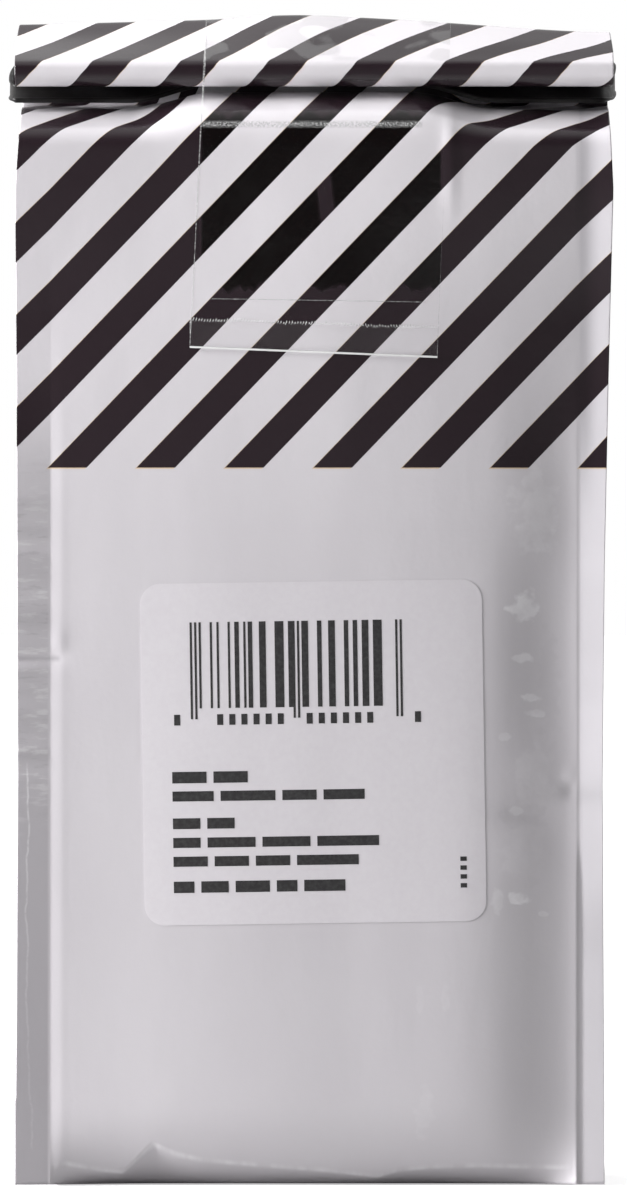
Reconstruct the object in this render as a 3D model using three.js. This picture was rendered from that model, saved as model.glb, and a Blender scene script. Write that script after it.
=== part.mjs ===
// A small side-gusset coffee bag, filled, its top rolled down toward the viewer and held by a tin tie
// and a strip of clear tape. Millimetres, +Z up, the printed back panel toward -Y.
import * as THREE from "three";

// Body of the bag
const BODY_DEPTH = 62;
const PANEL_BOW = 3.7;
const FOLD_HALF = 39.1;
const FIN_THICKNESS = 0.5;
const FIN_TILT = 0.9;
const STRAIGHT_TO = 128;
const SIDE_BULGE = 1.3;
const GUSSET_INWARD = 24;
const GUSSET_SHARE = 0.7;
const GUSSET_FROM = 95;
const GUSSET_TO = 150;

// Levels of the bag's mesh, from the base up and into the roll
const BASE_LEVELS = 5;
const BODY_LEVELS = 9;
const SHOULDER_LEVELS = 19;
const ROLL_LEVELS = 35;

// Rounded lower edge
const BASE_ROUND_PANEL = 8;
const BASE_ROUND_SIDE = 3;
const BASE_ROUND_LEAST = 0.9;

// Half widths over the corner fins as [height, left, right]
const HALF_WIDTHS = [
  [0, 44.4, 43.3],
  [22, 44.2, 43.2],
  [60, 44.0, 43.0],
  [92, 44.1, 43.3],
  [120, 44.2, 43.9],
  [148, 44.4, 44.6],
  [161, 43.5, 44.0],
  [167, 43.7, 44.0],
];

// Near and far outline of the shoulder on the bag's middle plane, as [y, z, bend radius]
const NEAR_SHOULDER = [
  [-BODY_DEPTH / 2, STRAIGHT_TO, 0],
  [-BODY_DEPTH / 2, 156.8, 3.5],
  [-21, 160.3, 1.6],
  [-12.2, 161.1, 1.2],
  [-12, 164.4, 0],
];
const FAR_SHOULDER = [
  [BODY_DEPTH / 2, STRAIGHT_TO, 0],
  [BODY_DEPTH / 2 - 1, 142, 11],
  [-1.5, 158.8, 20],
  [-11.2, 160.6, 1.4],
  [-11.3, 164.4, 0],
];
const SHOULDER_RISE = 2.4;

// Middle line of the pressed top as it rolls, as [y, z, bend radius]
const SHEET = 0.7;
const ROLL_LINE = [
  [-11.65, 164.4, 0],
  [-9, 174.6, 1.8],
  [-25.3, 166.9, 1.8],
  [-25.2, 162.9, 1.4],
  [-12.9, 168.6, 0.75],
  [-12.7, 171.3, 0.7],
  [-23.9, 166.4, 0.6],
  [-23.7, 165.4, 0],
];
const ROLL_HALF_LEFT = 44.5;
const ROLL_HALF_RIGHT = 44.7;
const ROLL_INNER_STEP = 0.9;

// The roll's ridge, higher in the middle and further back on the left, as [x, rise, step back]
const RIDGE = [
  [-45, -0.3, 4],
  [-28, 0.1, 3],
  [-12, 0.5, 1.6],
  [-5, 1.3, 1],
  [3, 0.9, 0.4],
  [14, 0.3, -0.8],
  [26, -0.6, -2.4],
  [38, -1.5, -3.6],
  [45, -1.7, -4],
];

// Tin tie
const TIE_WIDTH = 5;
const TIE_THICKNESS = 0.8;
const TIE_STRAIGHT_HALF = 42.1;
const TIE_REACH_LEFT = 45.1;
const TIE_REACH_RIGHT = 44.8;
const TIE_TAB_END = 25;
const TIE_FRONT_SIDES = [-20.5, 162.5];
const TIE_FRONT_MIDDLE = [-17.1, 165.1];
const TIE_FRONT_WIDTH = new THREE.Vector3(0, 0.87, 0.5).normalize();
const TIE_REAR = [-8.7, 165.1];
const TIE_REAR_WIDTH = new THREE.Vector3(0, 0.24, 1).normalize();
const TIE_TURN_STEPS = 14;
const TIE_FRONT_TO = 36;
const TIE_FRONT_STEP = 3;

// Clear tape, its middle line from behind the roll, over it and down to the panel
const TAPE_THICKNESS = 0.25;
const TAPE_LINE = [
  [-6.3, 160.25, 0],
  [-10.85, 161.2, 1.2],
  [-8.0, 176.0, 2.6],
  [-26.2, 167.4, 2.2],
  [-26.2, 163.5, 2.4],
  [-31.45, 160, 1.8],
  [-31.45, 123.9, 0],
];
const TAPE_STATIONS = 26;
const TAPE_COLUMNS = 7;
const TAPE_BEHIND = -14;
const TAPE_PANEL_FROM = 157;
const TAPE_PANEL_TO = 164;
const TAPE_RIDGE_DROP = 0.8;
const TAPE_LEFT = [-18.4, -16.1];
const TAPE_RIGHT = [18.4, 20.5];
const TAPE_END_SLANT = 0.75;

// Printed label
const LABEL_SIDE = 50.8;
const LABEL_CORNER = 3;
const LABEL_THICKNESS = 0.2;
const LABEL_CENTRE = [-0.2, 64];
const LABEL_TURN = THREE.MathUtils.degToRad(1);

const SKIN_GAP = 0.32;
const RIDGE_FROM = 166;
const RIDGE_TO = 171.5;

const { clamp, lerp, smoothstep } = THREE.MathUtils;

// Piecewise-linear value of a table's column at a place along its first column.
function along(table, at, column = 1) {
  const last = table.length - 1;
  if (at <= table[0][0]) return table[0][column];
  if (at >= table[last][0]) return table[last][column];
  const i = table.findIndex((row) => row[0] > at);
  const [before, after] = [table[i - 1], table[i]];
  return lerp(before[column], after[column], (at - before[0]) / (after[0] - before[0]));
}

// Fine points along straight runs joined by arcs, from corners given as [y, z, bend radius].
function roundedLine(corners, arcSteps = 16, runStep = 0.5) {
  const points = [];
  const runTo = (to) => {
    const from = points[points.length - 1];
    const steps = from ? Math.max(1, Math.ceil(from.distanceTo(to) / runStep)) : 1;
    for (let i = 1; i <= steps; i++) {
      points.push(from ? from.clone().lerp(to, i / steps) : to.clone());
    }
  };
  corners.forEach(([y, z, radius], i) => {
    const corner = new THREE.Vector2(y, z);
    if (i === 0 || i === corners.length - 1 || radius === 0) {
      runTo(corner);
      return;
    }
    const back = new THREE.Vector2(...corners[i - 1].slice(0, 2)).sub(corner).normalize();
    const on = new THREE.Vector2(...corners[i + 1].slice(0, 2)).sub(corner).normalize();
    const halfAngle = Math.acos(clamp(back.dot(on), -1, 1)) / 2;
    const start = corner.clone().addScaledVector(back, radius / Math.tan(halfAngle));
    const end = corner.clone().addScaledVector(on, radius / Math.tan(halfAngle));
    const centre = back.clone().add(on).normalize();
    centre.multiplyScalar(radius / Math.sin(halfAngle)).add(corner);
    runTo(start);
    const a = start.clone().sub(centre);
    const b = end.clone().sub(centre);
    const turn = Math.atan2(a.x * b.y - a.y * b.x, a.dot(b));
    for (let k = 1; k <= arcSteps; k++) {
      points.push(a.clone().rotateAround(new THREE.Vector2(), (turn * k) / arcSteps).add(centre));
    }
  });
  return points;
}

// Stations along a fine line, closer together where it bends. Each has its place and the
// normal on the left of travel times side.
function stations(corners, count, side, bendWeight = 5) {
  const line = roundedLine(corners);
  const tangents = line.map((point, i) => {
    const before = line[Math.max(0, i - 1)];
    const after = line[Math.min(line.length - 1, i + 1)];
    return after.clone().sub(before).normalize();
  });
  const reach = [0];
  for (let i = 1; i < line.length; i++) {
    const bend = Math.acos(clamp(tangents[i].dot(tangents[i - 1]), -1, 1));
    reach.push(reach[i - 1] + line[i].distanceTo(line[i - 1]) + bendWeight * bend);
  }
  const total = reach[reach.length - 1];
  return Array.from({ length: count }, (_, k) => {
    const at = Math.min(total, (total * k) / (count - 1));
    const i = Math.max(1, reach.findIndex((r) => r >= at));
    const part = (at - reach[i - 1]) / (reach[i] - reach[i - 1]);
    const place = line[i - 1].clone().lerp(line[i], part);
    const tangent = tangents[i - 1].clone().lerp(tangents[i], part).normalize();
    return { y: place.x, z: place.y, ny: -tangent.y * side, nz: tangent.x * side };
  });
}

// Share of the ridge's uneven height and place that a point of the rolled top takes on.
const ridgeShare = (z) => smoothstep(z, RIDGE_FROM, RIDGE_TO);

// Share of the gusset's full inward fold that the body has taken on by a height.
const gussetShare = (z) => GUSSET_SHARE * smoothstep(z, GUSSET_FROM, GUSSET_TO) ** 2;

// How far the panel falls back from its middle line, 0 in the middle and 1 at the fold.
const bowShare = (x) => Math.abs(x / FOLD_HALF) ** 2.2;

// Higher middle of the near shoulder, where the film stands up in front of the tie.
const middleShare = (x) => 1 - smoothstep(Math.abs(x), 15, 27);

// Share of the base's rounding left at a panel point, none at the folds.
const roundShare = (x) => 1 - Math.abs(x / FOLD_HALF) ** 5;

// Places across a panel, a little closer together toward the folds.
const PANEL_X = Array.from({ length: 17 }, (_, i) => {
  const even = lerp(-FOLD_HALF, FOLD_HALF, i / 16);
  const crowded = -FOLD_HALF * Math.cos((Math.PI * i) / 16);
  return lerp(crowded, even, 0.55);
});

// Shares of the way across a side gusset, from the near fin to the far fin.
const GUSSET_STEPS = [0.12, 0.3, 0.5, 0.7, 0.88];

// Closed loop of points round the bag at one level, starting at the near left fold and going right.
function bagLoop(level) {
  const { near, far, round } = level;
  const turned = round ? 1 - Math.sin(round) : 1;
  const inset = round ? 1 - Math.cos(round) : 0;
  const at = (line, x, out) => {
    const rise = level.ridge * along(RIDGE, x);
    const back = level.ridge * along(RIDGE, x, 2);
    return new THREE.Vector3(x, line.y + line.ny * out + back, line.z + line.nz * out + rise);
  };
  const lift = (point, radius) => {
    if (round) point.z = turned * Math.max(BASE_ROUND_LEAST, radius);
    return point;
  };
  const panel = (line, bow) => PANEL_X.map((x) => {
    const radius = BASE_ROUND_PANEL * roundShare(x);
    const point = at(line, x, -bow * bowShare(x) - inset * radius);
    if (line === near) point.z += level.rise * middleShare(x);
    return lift(point, radius);
  });
  const side = (sign) => {
    const tip = sign < 0 ? level.left : level.right;
    const inner = lerp(FOLD_HALF, tip, level.closed);
    const within = level.fin * lerp(1, 1.4, level.closed);
    const fin = (line, bow) => [
      at(line, sign * tip, level.tilt - bow),
      at(line, sign * tip, level.tilt - bow - level.fin),
      at(line, sign * inner, -bow - within),
    ].map((point) => lift(point, 0));
    const nearFin = fin(near, level.nearBow);
    const farFin = fin(far, level.farBow).reverse();
    const gusset = GUSSET_STEPS.map((share) => {
      const bulge = Math.sin(Math.PI * share);
      const radius = BASE_ROUND_SIDE * bulge;
      const fold = 1 - Math.abs(2 * share - 1);
      const point = nearFin[2].clone().lerp(farFin[0], share);
      point.x += sign * (level.bulge * bulge - level.inward * fold - inset * radius);
      return lift(point, radius);
    });
    return [...nearFin, ...gusset, ...farFin];
  };
  return [
    ...panel(near, level.nearBow),
    ...side(1),
    ...panel(far, level.farBow).reverse(),
    ...side(-1).reverse(),
  ];
}

// Every level of the bag from the base up through the shoulder and round the roll.
function bagLevels() {
  const half = BODY_DEPTH / 2;
  const body = (z, round = 0) => ({
    near: { y: -half, z, ny: -1, nz: 0 },
    far: { y: half, z, ny: 1, nz: 0 },
    nearBow: PANEL_BOW,
    farBow: PANEL_BOW,
    left: along(HALF_WIDTHS, z, 1),
    right: along(HALF_WIDTHS, z, 2),
    tilt: FIN_TILT,
    fin: FIN_THICKNESS,
    bulge: SIDE_BULGE,
    inward: GUSSET_INWARD * gussetShare(z),
    closed: 0,
    ridge: 0,
    rise: 0,
    round,
  });
  const levels = [];
  for (let k = 0; k < BASE_LEVELS; k++) {
    levels.push(body(0, (Math.PI / 2) * (1 - k / BASE_LEVELS)));
  }
  for (let k = 0; k < BODY_LEVELS; k++) {
    levels.push(body(lerp(BASE_ROUND_PANEL + 2, STRAIGHT_TO, k / BODY_LEVELS)));
  }
  const near = stations(NEAR_SHOULDER, SHOULDER_LEVELS, 1);
  const far = stations(FAR_SHOULDER, SHOULDER_LEVELS, -1);
  near.forEach((line, k) => {
    const t = k / (SHOULDER_LEVELS - 1);
    const gather = 1 - smoothstep(t, 0.25, 1);
    const press = smoothstep(t, 0.72, 1);
    levels.push({
      ...body(line.z),
      near: line,
      far: far[k],
      nearBow: PANEL_BOW * gather,
      farBow: PANEL_BOW * gather,
      tilt: FIN_TILT * gather,
      fin: lerp(FIN_THICKNESS, SHEET * 0.2, press),
      bulge: SIDE_BULGE * gather,
      inward: GUSSET_INWARD * (gussetShare(line.z) + (1 - GUSSET_SHARE) * t) * (1 - press),
      closed: press,
      rise: SHOULDER_RISE * smoothstep(t, 0.3, 0.62) * (1 - smoothstep(t, 0.7, 0.95)),
    });
  });
  const roll = stations(ROLL_LINE, ROLL_LEVELS, 1);
  roll.slice(1).forEach((line, k) => {
    const t = (k + 1) / (roll.length - 1);
    const inward = ROLL_INNER_STEP * smoothstep(t, 0.45, 0.6);
    const opened = smoothstep(t, 0.12, 0.3);
    const face = (sign) => ({
      y: line.y + (sign * line.ny * SHEET) / 2,
      z: line.z + (sign * line.nz * SHEET) / 2,
      ny: sign * line.ny,
      nz: sign * line.nz,
    });
    levels.push({
      near: face(1),
      far: face(-1),
      nearBow: 0,
      farBow: 0,
      left: lerp(along(HALF_WIDTHS, 167, 1), ROLL_HALF_LEFT, opened) - inward,
      right: lerp(along(HALF_WIDTHS, 167, 2), ROLL_HALF_RIGHT, opened) - inward,
      tilt: 0,
      fin: SHEET * 0.2,
      bulge: 0,
      inward: 0,
      closed: 1,
      ridge: ridgeShare(line.z),
      rise: 0,
      round: 0,
    });
  });
  return levels;
}

// Closed mesh from loops of equal length. The flat outlines of its first and last loop close its ends.
function loft(loops, outlines) {
  const size = loops[0].length;
  const positions = loops.flatMap((loop) => loop.flatMap((p) => [p.x, p.y, p.z]));
  const index = [];
  for (let k = 0; k < loops.length - 1; k++) {
    for (let i = 0; i < size; i++) {
      const a = k * size + i;
      const b = k * size + ((i + 1) % size);
      index.push(a, b, b + size, a, b + size, a + size);
    }
  }
  outlines.forEach((outline, end) => {
    const base = end * (loops.length - 1) * size;
    const ahead = THREE.ShapeUtils.area(outline) > 0;
    THREE.ShapeUtils.triangulateShape(outline, []).forEach(([a, b, c]) => {
      const triangle = ahead === (end === 1) ? [a, b, c] : [a, c, b];
      index.push(...triangle.map((i) => base + i));
    });
  });
  const geometry = new THREE.BufferGeometry();
  geometry.setAttribute("position", new THREE.Float32BufferAttribute(positions, 3));
  geometry.setIndex(index);
  geometry.computeVertexNormals();
  return geometry;
}

// Depth at which the near panel's surface lies across the body.
function panelSurface(x) {
  return -BODY_DEPTH / 2 + PANEL_BOW * bowShare(x);
}

function makeBag() {
  const levels = bagLevels();
  const loops = levels.map(bagLoop);
  const { near } = levels[levels.length - 1];
  const base = loops[0].map((p) => new THREE.Vector2(p.x, p.y));
  const end = loops[loops.length - 1].map((p) => {
    const across = (p.y - near.y) * near.ny + (p.z - near.z) * near.nz;
    return new THREE.Vector2(p.x, across);
  });
  return loft(loops, [base, end]);
}

// Stations of the tie: place, direction of its width.
function tieStations() {
  const result = [];
  const front = (x) => {
    const up = middleShare(x);
    const [y, z] = [0, 1].map((i) => lerp(TIE_FRONT_SIDES[i], TIE_FRONT_MIDDLE[i], up));
    return new THREE.Vector3(x, y, z);
  };
  const rear = (x) => new THREE.Vector3(x, ...TIE_REAR);
  const turn = (sign, reach) => {
    const stops = [];
    const straight = front(sign * TIE_STRAIGHT_HALF);
    const back = rear(sign * TIE_STRAIGHT_HALF);
    for (let k = 0; k <= TIE_TURN_STEPS; k++) {
      const a = (Math.PI * k) / TIE_TURN_STEPS;
      const across = smoothstep(a, Math.PI * 0.07, Math.PI * 0.6);
      const place = straight.clone().lerp(back, across);
      place.x = sign * lerp(TIE_STRAIGHT_HALF, reach, Math.max(0, Math.sin(a)) ** 0.7);
      stops.push({ place, width: TIE_FRONT_WIDTH.clone().lerp(TIE_REAR_WIDTH, across).normalize() });
    }
    for (const part of [0.25, 0.5, 0.75, 1]) {
      const x = sign * lerp(TIE_STRAIGHT_HALF, TIE_TAB_END, part);
      stops.push({ place: rear(x), width: TIE_REAR_WIDTH });
    }
    return stops;
  };
  result.push(...turn(-1, TIE_REACH_LEFT).reverse());
  for (let x = -TIE_FRONT_TO; x <= TIE_FRONT_TO; x += TIE_FRONT_STEP) {
    result.push({ place: front(x), width: TIE_FRONT_WIDTH });
  }
  result.push(...turn(1, TIE_REACH_RIGHT));
  return result;
}

// Loft of a bevelled rectangular section along stations.
function strip(stops, width, thickness) {
  const bevel = thickness * 0.3;
  const [w, t] = [width / 2, thickness / 2];
  const section = [
    [-w, -t + bevel],
    [-w + bevel, -t],
    [w - bevel, -t],
    [w, -t + bevel],
    [w, t - bevel],
    [w - bevel, t],
    [-w + bevel, t],
    [-w, t - bevel],
  ];
  const loops = stops.map(({ place, width: across }, i) => {
    const before = stops[Math.max(0, i - 1)].place;
    const after = stops[Math.min(stops.length - 1, i + 1)].place;
    const forward = after.clone().sub(before).normalize();
    const normal = forward.clone().cross(across).normalize();
    const wide = normal.clone().cross(forward).normalize();
    return section.map(([a, b]) => place.clone().addScaledVector(wide, a).addScaledVector(normal, b));
  });
  const outline = section.map(([a, b]) => new THREE.Vector2(a, b));
  return loft(loops, [outline, outline]);
}

// Thin sheet over a grid of columns, each a list of points on its front with those on its back.
function sheet(columns) {
  const loops = columns.map((column) => [
    ...column.map(({ front }) => front),
    ...column.map(({ back }) => back).reverse(),
  ]);
  const size = loops[0].length;
  const rows = size / 2;
  const geometry = loft(loops, []);
  const index = [...geometry.index.array];
  const close = (base, turned) => {
    for (let j = 0; j < rows - 1; j++) {
      const [a, b, c, d] = [j, j + 1, size - 2 - j, size - 1 - j].map((i) => i + base);
      index.push(...(turned ? [a, b, c, a, c, d] : [a, c, b, a, d, c]));
    }
  };
  close(0, false);
  close((loops.length - 1) * size, true);
  geometry.setIndex(index);
  return geometry;
}

// Tape: columns across its width, each following the roll and then the bowed panel.
function makeTape() {
  const line = stations(TAPE_LINE, TAPE_STATIONS, -1);
  const top = Math.max(...line.map(({ z }) => z));
  const bottom = TAPE_LINE[TAPE_LINE.length - 1][1];
  const columns = Array.from({ length: TAPE_COLUMNS }, (_, i) => i / (TAPE_COLUMNS - 1));
  return sheet(columns.map((across) => line.map((stop, k) => {
    const risen = clamp((stop.z - bottom) / (top - bottom), 0, 1);
    const behind = stop.y > TAPE_BEHIND;
    const height = behind ? 1 : risen;
    const left = lerp(TAPE_LEFT[0], TAPE_LEFT[1], height);
    const right = lerp(TAPE_RIGHT[0], TAPE_RIGHT[1], height);
    const x = lerp(left, right, across);
    const onPanel = behind ? 0 : 1 - smoothstep(stop.z, TAPE_PANEL_FROM, TAPE_PANEL_TO);
    const ridge = ridgeShare(stop.z - TAPE_RIDGE_DROP);
    const slant = k === line.length - 1 ? TAPE_END_SLANT * (1 - 2 * across) : 0;
    const place = (out) => new THREE.Vector3(
      x,
      stop.y + stop.ny * out + PANEL_BOW * bowShare(x) * onPanel + ridge * along(RIDGE, x, 2),
      stop.z + stop.nz * out + slant + ridge * along(RIDGE, x),
    );
    return { front: place(TAPE_THICKNESS / 2), back: place(-TAPE_THICKNESS / 2) };
  })));
}

// Label: a square with rounded corners, bent to the panel and turned a little.
function makeLabel() {
  const half = LABEL_SIDE / 2;
  const flat = half - LABEL_CORNER;
  const corner = [0, 1, 2, 3].map((k) => (Math.PI / 6) * k);
  const ends = corner.map((a) => [flat + LABEL_CORNER * Math.cos(a), flat + LABEL_CORNER * Math.sin(a)]);
  const middle = Array.from({ length: 8 }, (_, i) => [lerp(flat, -flat, (i + 1) / 9), half]);
  const columns = [...ends, ...middle, ...ends.map(([u, h]) => [-u, h]).reverse()].reverse();
  const rows = [1, 0.5, 0, -0.5, -1];
  return sheet(columns.map(([u, height]) => rows.map((share) => {
    const spot = new THREE.Vector2(u, height * share).rotateAround(new THREE.Vector2(), -LABEL_TURN);
    const x = LABEL_CENTRE[0] + spot.x;
    const z = LABEL_CENTRE[1] + spot.y;
    const back = panelSurface(x) - SKIN_GAP;
    return {
      front: new THREE.Vector3(x, back - LABEL_THICKNESS, z),
      back: new THREE.Vector3(x, back, z),
    };
  })));
}

const finish = {
  film: new THREE.MeshStandardMaterial({ color: 0xd2cfd3, roughness: 0.34, metalness: 0 }),
  tie: new THREE.MeshStandardMaterial({ color: 0x120f10, roughness: 0.4, metalness: 0 }),
  tape: new THREE.MeshStandardMaterial({ color: 0xd9dadb, roughness: 0.15, opacity: 0.35 }),
  label: new THREE.MeshStandardMaterial({ color: 0xdedbe0, roughness: 0.7, metalness: 0 }),
};

finish.tape.transparent = true;

function piece(name, geometry, material) {
  const mesh = new THREE.Mesh(geometry, material);
  mesh.name = name;
  return mesh;
}

const coffeeBag = new THREE.Group();
coffeeBag.add(piece("bag", makeBag(), finish.film));
coffeeBag.add(piece("tin_tie", strip(tieStations(), TIE_WIDTH, TIE_THICKNESS), finish.tie));
coffeeBag.add(piece("tape", makeTape(), finish.tape));
coffeeBag.add(piece("label", makeLabel(), finish.label));
const extent = new THREE.Box3().setFromObject(coffeeBag);
const middle = extent.getCenter(new THREE.Vector3());
coffeeBag.position.set(-middle.x, -middle.y, -extent.min.z);

export default coffeeBag;
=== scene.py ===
"""Filled coffee bag of striped white film, its top rolled down over a black tie and held with clear tape."""

import math
import random

import bpy
import numpy as np
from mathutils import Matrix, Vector, noise


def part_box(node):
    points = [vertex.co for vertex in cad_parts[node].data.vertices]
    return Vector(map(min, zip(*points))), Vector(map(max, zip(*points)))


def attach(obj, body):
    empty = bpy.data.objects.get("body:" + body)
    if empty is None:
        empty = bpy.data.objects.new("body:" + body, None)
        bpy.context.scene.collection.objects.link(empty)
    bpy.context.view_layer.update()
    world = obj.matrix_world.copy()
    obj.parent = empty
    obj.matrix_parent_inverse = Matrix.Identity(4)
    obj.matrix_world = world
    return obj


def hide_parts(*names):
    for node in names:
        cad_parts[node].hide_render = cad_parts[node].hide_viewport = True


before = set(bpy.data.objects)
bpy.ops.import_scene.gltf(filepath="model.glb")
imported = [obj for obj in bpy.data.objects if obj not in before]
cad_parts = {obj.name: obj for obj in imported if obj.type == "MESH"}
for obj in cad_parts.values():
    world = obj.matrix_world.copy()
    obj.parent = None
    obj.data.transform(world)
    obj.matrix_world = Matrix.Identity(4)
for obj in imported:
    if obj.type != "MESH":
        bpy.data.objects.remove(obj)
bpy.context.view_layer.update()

# Sizes are in millimetres until a mesh is made, then in metres.
MM = 0.001

# Body of the bag, as in the frame
BODY_DEPTH = 62.0
HALF_DEPTH = BODY_DEPTH / 2
PANEL_BOW = 3.7
FOLD_HALF = 39.1
FIN_THICKNESS = 0.5
FIN_TILT = 0.55
LEFT_FIN_TILT = 0.5
LEFT_FIN_TOP_TILT = -0.15
STRAIGHT_TO = 128.0
SIDE_BULGE = 1.3
GUSSET_INWARD = 24.0
GUSSET_BODY_SHARE = 0.7
GUSSET_SHOULDER_SHARE = 0.3
GROOVE_DEPTHS = (0.3, 0.12)
FAR_BOW_POWER = 2.2

# Heights between which things change on the way up the body
TILT_GROWS = (35, 62)
LEFT_TILT_TURNS = (100, 122)
GROOVE_SHALLOWS = (45, 52)
FOLD_MOVES_OUT = (95, 120)
GUSSET_FOLDS_IN = (95, 150)

# Half widths over the corner fins as height, left, right
HALF_WIDTHS = np.array([
    [0, 44.4, 43.3], [22, 44.2, 43.2], [60, 44.0, 43.0], [92, 44.1, 43.3],
    [120, 44.2, 43.9], [148, 44.4, 44.6], [161, 43.5, 44.0], [167, 43.7, 44.0],
])

# Shoulder and roll outlines as y, z, bend radius
NEAR_SHOULDER = [
    (-HALF_DEPTH, STRAIGHT_TO, 0), (-HALF_DEPTH, 156.8, 3.5), (-21, 160.3, 1.6),
    (-12.2, 161.1, 1.2), (-12, 164.4, 0),
]
FAR_SHOULDER = [
    (HALF_DEPTH, STRAIGHT_TO, 0), (HALF_DEPTH - 1, 142, 11), (-1.5, 158.8, 20),
    (-11.2, 160.6, 1.4), (-11.3, 164.4, 0),
]
SHOULDER_RISE = 2.4
SHEET = 0.7
ROLL_LINE = [
    (-11.65, 164.4, 0), (-9, 174.6, 1.8), (-25.3, 166.75, 0.9), (-25.35, 162.95, 1.5),
    (-12.9, 168.6, 0.75), (-12.7, 171.3, 0.7), (-23.9, 166.4, 0.6), (-23.7, 165.4, 0),
]
ROLL_HALF_LEFT = 44.5
ROLL_HALF_RIGHT = 44.7
ROLL_FOOT = 167.0
ROLL_INNER_STEP = 0.9

# A fin that is pressed flat, as its thickness and how many times as thick its root is
FLAT_FIN = SHEET * 0.2
FLAT_ROOT = 1.4

# Shares of the way over the shoulder, and then into the roll, between which things change
GATHERS = (0.25, 1)
PRESSES_FLAT = (0.72, 1)
MIDDLE_RISES = (0.3, 0.62)
MIDDLE_SINKS = (0.7, 0.95)
ROLL_WIDENS = (0.12, 0.3)
ROLL_STEPS_IN = (0.45, 0.6)

# The roll's ridge, higher in the middle and further back on the left, as x, rise, step back
RIDGE = np.array([
    [-45, -0.3, 4], [-28, 0.1, 3], [-12, 0.5, 1.6], [-5, 1.3, 1], [3, 0.9, 0.4], [14, 0.3, -0.8],
    [26, -0.6, -2.4], [38, -1.5, -3.6], [45, -1.7, -4],
])
RIDGE_FROM = 166.0
RIDGE_TO = 171.5
RIDGE_EASE = (-5, -2.5, 0, 2.5, 5)

# The frame stands centred on its footprint, a little off the sizes above
SHIFT_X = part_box("bag")[1].x / MM - ROLL_HALF_RIGHT
SHIFT_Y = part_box("bag")[1].y / MM - HALF_DEPTH

# Levels and columns of the film's mesh
BASE_LEVELS = 24
BASE_TOP = 13.0
BODY_LEVELS = 158
SHOULDER_LEVELS = 62
ROLL_LEVELS = 100
NEAR_COLUMNS = 120
FAR_COLUMNS = 56
FIN_COLUMNS = 8
GUSSET_COLUMNS = 18

# Printed stripes, and where they end
STRIPE_PITCH = 13.15
STRIPE_BLACK = 0.44
STRIPE_LEAN = 0.96
STRIPE_START = 2.81
STRIPE_END = 106.6
ROLL_PRINT_AT = 167.35
ROLL_PRINT_START = -40.2

# The print's map: its lowest value, where it takes the fins' tips to be, and the width of its two seams
PRINT_FOOT = -6.0
PRINT_TIP = 44.0
SEAM_WIDTH = 0.1


def smooth(x, a, b):
    """0 below a, 1 above b and eased between them."""
    t = np.clip((np.asarray(x, float) - a) / (b - a), 0, 1)
    return t * t * (3 - 2 * t)


def mix(a, b, t):
    return a + (b - a) * t


def bell(x, middle, reach):
    """1 at the middle, and falling off on both sides over this reach."""
    return np.exp(-(((np.asarray(x, float) - middle) / reach) ** 2))


def grain(x, z, size, seed):
    """Smooth random relief from -1 to 1 over arrays of places, size in millimetres across and up."""
    flat_x, flat_z = np.broadcast_arrays(x, z)
    values = [
        noise.noise(Vector((a / size[0], b / size[1], seed)))
        for a, b in zip(flat_x.ravel(), flat_z.ravel())
    ]
    return np.array(values).reshape(flat_x.shape)


def rounded_line(corners, arc_steps=24, run_step=0.4):
    """Close points along a line through these corners, given as y, z and bend radius."""
    points = []

    def run_to(target):
        if not points:
            points.append(target)
            return
        start = points[-1]
        steps = max(1, math.ceil(np.linalg.norm(target - start) / run_step))
        points.extend(mix(start, target, k / steps) for k in range(1, steps + 1))

    for i, (y, z, radius) in enumerate(corners):
        corner = np.array([y, z], float)
        if radius == 0:
            run_to(corner)
            continue
        back = np.array(corners[i - 1][:2], float) - corner
        on = np.array(corners[i + 1][:2], float) - corner
        back /= np.linalg.norm(back)
        on /= np.linalg.norm(on)
        half = math.acos(np.clip(back @ on, -1, 1)) / 2
        centre = back + on
        centre = corner + centre / np.linalg.norm(centre) * radius / math.sin(half)
        start = corner + back * radius / math.tan(half)
        end = corner + on * radius / math.tan(half)
        run_to(start)
        a, b = start - centre, end - centre
        turn = math.atan2(a[0] * b[1] - a[1] * b[0], a @ b)
        for k in range(1, arc_steps + 1):
            c, s = math.cos(turn * k / arc_steps), math.sin(turn * k / arc_steps)
            points.append(centre + np.array([a[0] * c - a[1] * s, a[0] * s + a[1] * c]))
    return np.array(points)


def stations(corners, count, side, bend_weight=5.0):
    """Rows of y, z, normal y, normal z and distance gone, closer together where the line bends."""
    line = rounded_line(corners)
    padded = np.vstack([line[:1], line, line[-1:]])
    tangent = padded[2:] - padded[:-2]
    tangent /= np.linalg.norm(tangent, axis=1)[:, None]
    step = np.linalg.norm(np.diff(line, axis=0), axis=1)
    bend = np.arccos(np.clip((tangent[1:] * tangent[:-1]).sum(1), -1, 1))
    reach = np.concatenate([[0], np.cumsum(step + bend_weight * bend)])
    gone = np.concatenate([[0], np.cumsum(step)])
    at = np.linspace(0, reach[-1], count)
    measures = (line[:, 0], line[:, 1], tangent[:, 0], tangent[:, 1], gone)
    y, z, ty, tz, gone = [np.interp(at, reach, values) for values in measures]
    length = np.hypot(ty, tz)
    return np.stack([y, z, -tz / length * side, ty / length * side, gone], axis=1)


def far_share(x):
    """How far the far panel falls back from its middle, 1 at the folds."""
    return np.abs(x / FOLD_HALF) ** FAR_BOW_POWER


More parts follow.
